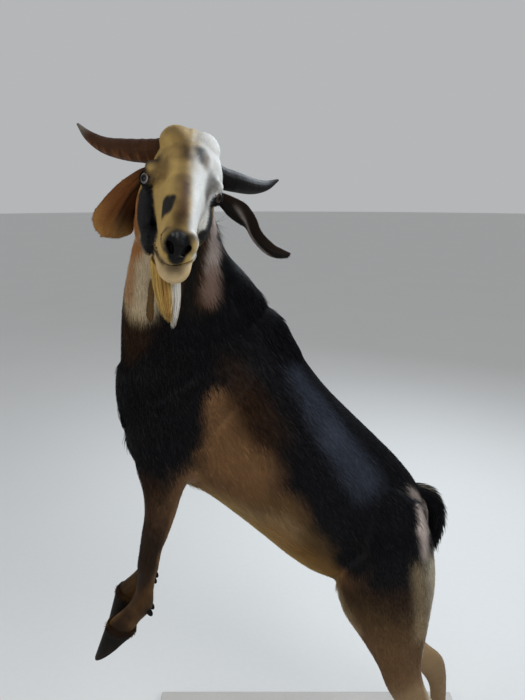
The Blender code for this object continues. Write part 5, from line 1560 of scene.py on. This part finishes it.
fringes = {
    # space, line from, to, spread, count, length, width, lie, lift
    "ruff": ("world", (-0.13, 0, 1.255), (-0.06, 0, 1.15), 0.045, 900, 0.04, 0.0024, (0.42, 0, -0.9), 0.24),
    "breast_hair": ("both", (-0.436, 0.03, 1.03), (-0.392, 0.05, 0.915), 0.03, 420, 0.032, 0.0022,
                    (0.3, 0, -0.95), 0.42),
    "sheath_hair": ("world", (-0.105, 0, 0.745), (-0.085, 0, 0.728), 0.012, 420, 0.024, 0.0018,
                    (0.5, 0, -0.85), 0.9),
    "flank_hair": ("both", (0.02, 0.06, 0.69), (0.048, 0.095, 0.59), 0.016, 260, 0.022, 0.0018,
                   (0.15, 0, -1), 0.25),
    "thigh_hair": ("both", (0.236, 0.06, 0.7), (0.236, 0.09, 0.52), 0.018, 420, 0.02, 0.0018,
                   (0.1, 0, -1), 0.2),
    "rump_hair": ("both", (0.212, 0.016, 0.822), (0.232, 0.034, 0.735), 0.014, 700, 0.024, 0.0018,
                  (0.3, 0, -0.95), 0.55),
    "nape_hair": ("world", (-0.19, -0.06, 1.33), (-0.15, -0.02, 1.26), 0.03, 420, 0.032, 0.0022,
                  (0.4, 0, -0.95), 0.15),
}


def growFringe(name, seed):
    # strands from the hide's points nearest to places scattered about a line
    space, start, end, spread, count, length, width, lieWay, lift = fringes[name]
    draw = np.random.default_rng(seed)
    t = draw.uniform(0, 1, (count, 1))
    spots = np.array(start) + (np.array(end) - np.array(start)) * t + draw.normal(0, spread / 2, (count, 3))
    if space == "both":
        spots[:, 1] *= np.where(np.arange(count) % 2, 1, -1)
    box = ((points > spots.min(axis=0) - 0.05) & (points < spots.max(axis=0) + 0.05)).all(axis=1)
    near = np.flatnonzero(box)
    chosen = near[np.concatenate([((points[near][None] - part[:, None]) ** 2).sum(axis=-1).argmin(axis=1)
                                  for part in np.array_split(spots, 12)])]
    roots, turned = points[chosen], normals[chosen]
    way = np.array(lieWay, float) + draw.normal(0, 0.13, (count, 3))
    way = laidOn(way, turned) + turned * lift
    strands(name, roots - turned * 0.001, unit(way), turned, np.full(count, length), width,
            -turned * lift * 0.55 + down * 0.05, coatColour(roots), seed + 1, 0.25, (start, end), 5)


for index, name in enumerate(fringes):
    growFringe(name, 71 + 2 * index)

tailHair = {"length": 0.014, "width": 0.0022, "height": 0.0022, "spacing": 0.0030, "levels": 2, "tip": 0.3}
tailStrands = {"strands": 2000, "length": 0.034, "width": 0.0022, "round": 2.7, "pale": 0.22}
tailLine = ((0.22, 0, 0.83), (0.255, 0, 0.70))


def tailLie(at):
    # backward at the tail's root, then down
    return np.stack([0.35 * softStep(0.70, 0.84, at[:, 2]) - 0.1, 0 * at[:, 0], -np.ones(len(at))], -1)


rings = tailRings(70, 40, 0.004)
finePiece("tail", rings, oneColour(rings, "black"), 91, tailHair, tailLie, tailLine)


def growTailHair():
    # long strands along the tail, black inside and pale round its outer edges
    draw = np.random.default_rng(93)
    count = tailStrands["strands"]
    table = tailTable(200)
    at = (draw.uniform(0.08, 0.98, count) * 199).astype(int)
    centre, outwardWay, thick, half, heading = (values[at] for values in table)
    turn = draw.uniform(-tailStrands["round"], tailStrands["round"], (count, 1))
    skin = outwardWay * (thick * np.cos(turn)) + acrossBody * (half * np.sin(turn))
    lean = unit(skin)
    roots = centre + skin * 0.7
    way = unit(heading + lean * draw.uniform(0.15, 0.55, (count, 1)) + draw.normal(0, 0.10, (count, 3)))
    pale = softStep(0.72, 0.95, np.abs(np.cos(turn))) * (draw.uniform(0, 1, (count, 1)) > 0.45)
    black, ivory = np.array(palette["black"]), np.array(palette["ivory"])
    colours = black + pale * tailStrands["pale"] * (ivory - black)
    strands("tail_hair", roots, way, lean, np.full(count, tailStrands["length"]), tailStrands["width"],
            down * 0.12 - lean * 0.18, colours, 94, 0.4, tailLine, 5)


growTailHair()

coronetHair = {"strands": 520, "length": 0.014, "width": 0.0016}


def growCoronets():
    # short hair from the oval round each coronet, lying down over the top of the hoof
    draw = np.random.default_rng(97)
    count = coronetHair["strands"]
    for key, (_, (coronet, _)) in legs.items():
        point, leave = coronetPlane(coronet)
        turn = draw.uniform(0, 2 * np.pi, (count, 1))
        off = (coronet[0:3] - coronet[3:6]) / 2 * np.cos(turn) + np.array([0, coronet[6], 0]) * np.sin(turn)
        roots = point + off * 0.96 - leave * draw.uniform(0.002, 0.012, (count, 1))
        way = unit(leave + 0.10 * unit(off) + draw.normal(0, 0.12, (count, 3)))
        strands("coronet_" + key, roots, way, unit(off), np.full(count, coronetHair["length"]),
                coronetHair["width"], -unit(off) * 0.08, coatColour(roots), 98, 0.1,
                (point - leave * 0.02, point), 3)


growCoronets()
print("long hair grown")


def standFinish():
    # matt paint with a faint grain
    made, tree, shader = finish("stand", 0.55)
    grained(tree, shader, (0.46, 0.44, 0.41), 180, 9, 0.16, 0.15, 0.0005)
    return made


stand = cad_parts["stand_base"]
stand.data.materials[0] = standFinish()

studio = {
    "floor": (0.68, 0.68, 0.67),
    "air": (0.88, 0.90, 0.92),
    "airStrength": 0.52,
    "camera": (-0.13, -1.12, 1.4715),
    "pitch": 15.8,             # degrees below level
    "lens": 36.0 * 566 / 700,  # a focal length of 566 of the picture's 700 rows
    "lamps": {
        # place, aim, width, power, colour
        "key": ((1.5, -1.7, 2.7), (-0.1, 0, 1.0), 1.4, 30, (0.96, 0.98, 1.0)),
        "fill": ((-2.3, -1.5, 1.9), (-0.2, 0, 1.1), 0.9, 12, (1.0, 0.90, 0.78)),
        "rim": ((0.9, 1.7, 2.6), (0, 0, 1.0), 1.5, 56, (0.82, 0.91, 1.0)),
    },
}


def makeStudio():
    # a wide pale floor, even light from all round, and three soft lamps
    sides = 96
    turn = roundTurns(sides)
    circle = np.stack([np.cos(turn), np.sin(turn), 0 * turn], -1)
    rings = np.concatenate([circle * reach for reach in (0.05, 4.0, 40.0)] + [[[0, 0, 0]]])
    rim = np.arange(sides)
    middle = np.stack([np.full(sides, 3 * sides), rim, (rim + 1) % sides], -1)
    floor = meshObject("floor", rings, np.concatenate([tubeWalls(3, sides)[:, ::-1], middle]))
    made, tree, shader = finish("floor", 0.8)
    grained(tree, shader, studio["floor"], 60, 1.5, 0.05, 0, 0)
    floor.data.materials.append(made)
    world = bpy.data.worlds.new("studio")
    world.use_nodes = True
    air = world.node_tree.nodes["Background"]
    air.inputs["Color"].default_value = (*studio["air"], 1)
    air.inputs["Strength"].default_value = studio["airStrength"]
    bpy.context.scene.world = world
    for name, (place, aim, size, power, colour) in studio["lamps"].items():
        lamp = bpy.data.lights.new(name, "AREA")
        lamp.size = size
        lamp.energy = power
        lamp.color = colour
        holder = bpy.data.objects.new(name, lamp)
        holder.location = place
        aimWay = np.array(aim) - np.array(place)
        flatRun = math.hypot(aimWay[0], aimWay[1])
        holder.rotation_euler = (math.pi / 2 + math.atan2(aimWay[2], flatRun), 0,
                                 math.atan2(aimWay[1], aimWay[0]) - math.pi / 2)
        bpy.context.scene.collection.objects.link(holder)
    camera = bpy.data.cameras.new("camera")
    camera.sensor_fit = "VERTICAL"
    camera.sensor_height = 36.0
    camera.lens = studio["lens"]
    camera.clip_start = 0.05
    viewer = bpy.data.objects.new("camera", camera)
    viewer.location = studio["camera"]
    viewer.rotation_euler = (math.radians(90 - studio["pitch"]), 0, 0)
    bpy.context.scene.collection.objects.link(viewer)
    bpy.context.scene.camera = viewer
    bpy.context.scene.view_settings.view_transform = "Standard"


makeStudio()
print("goat dressed")
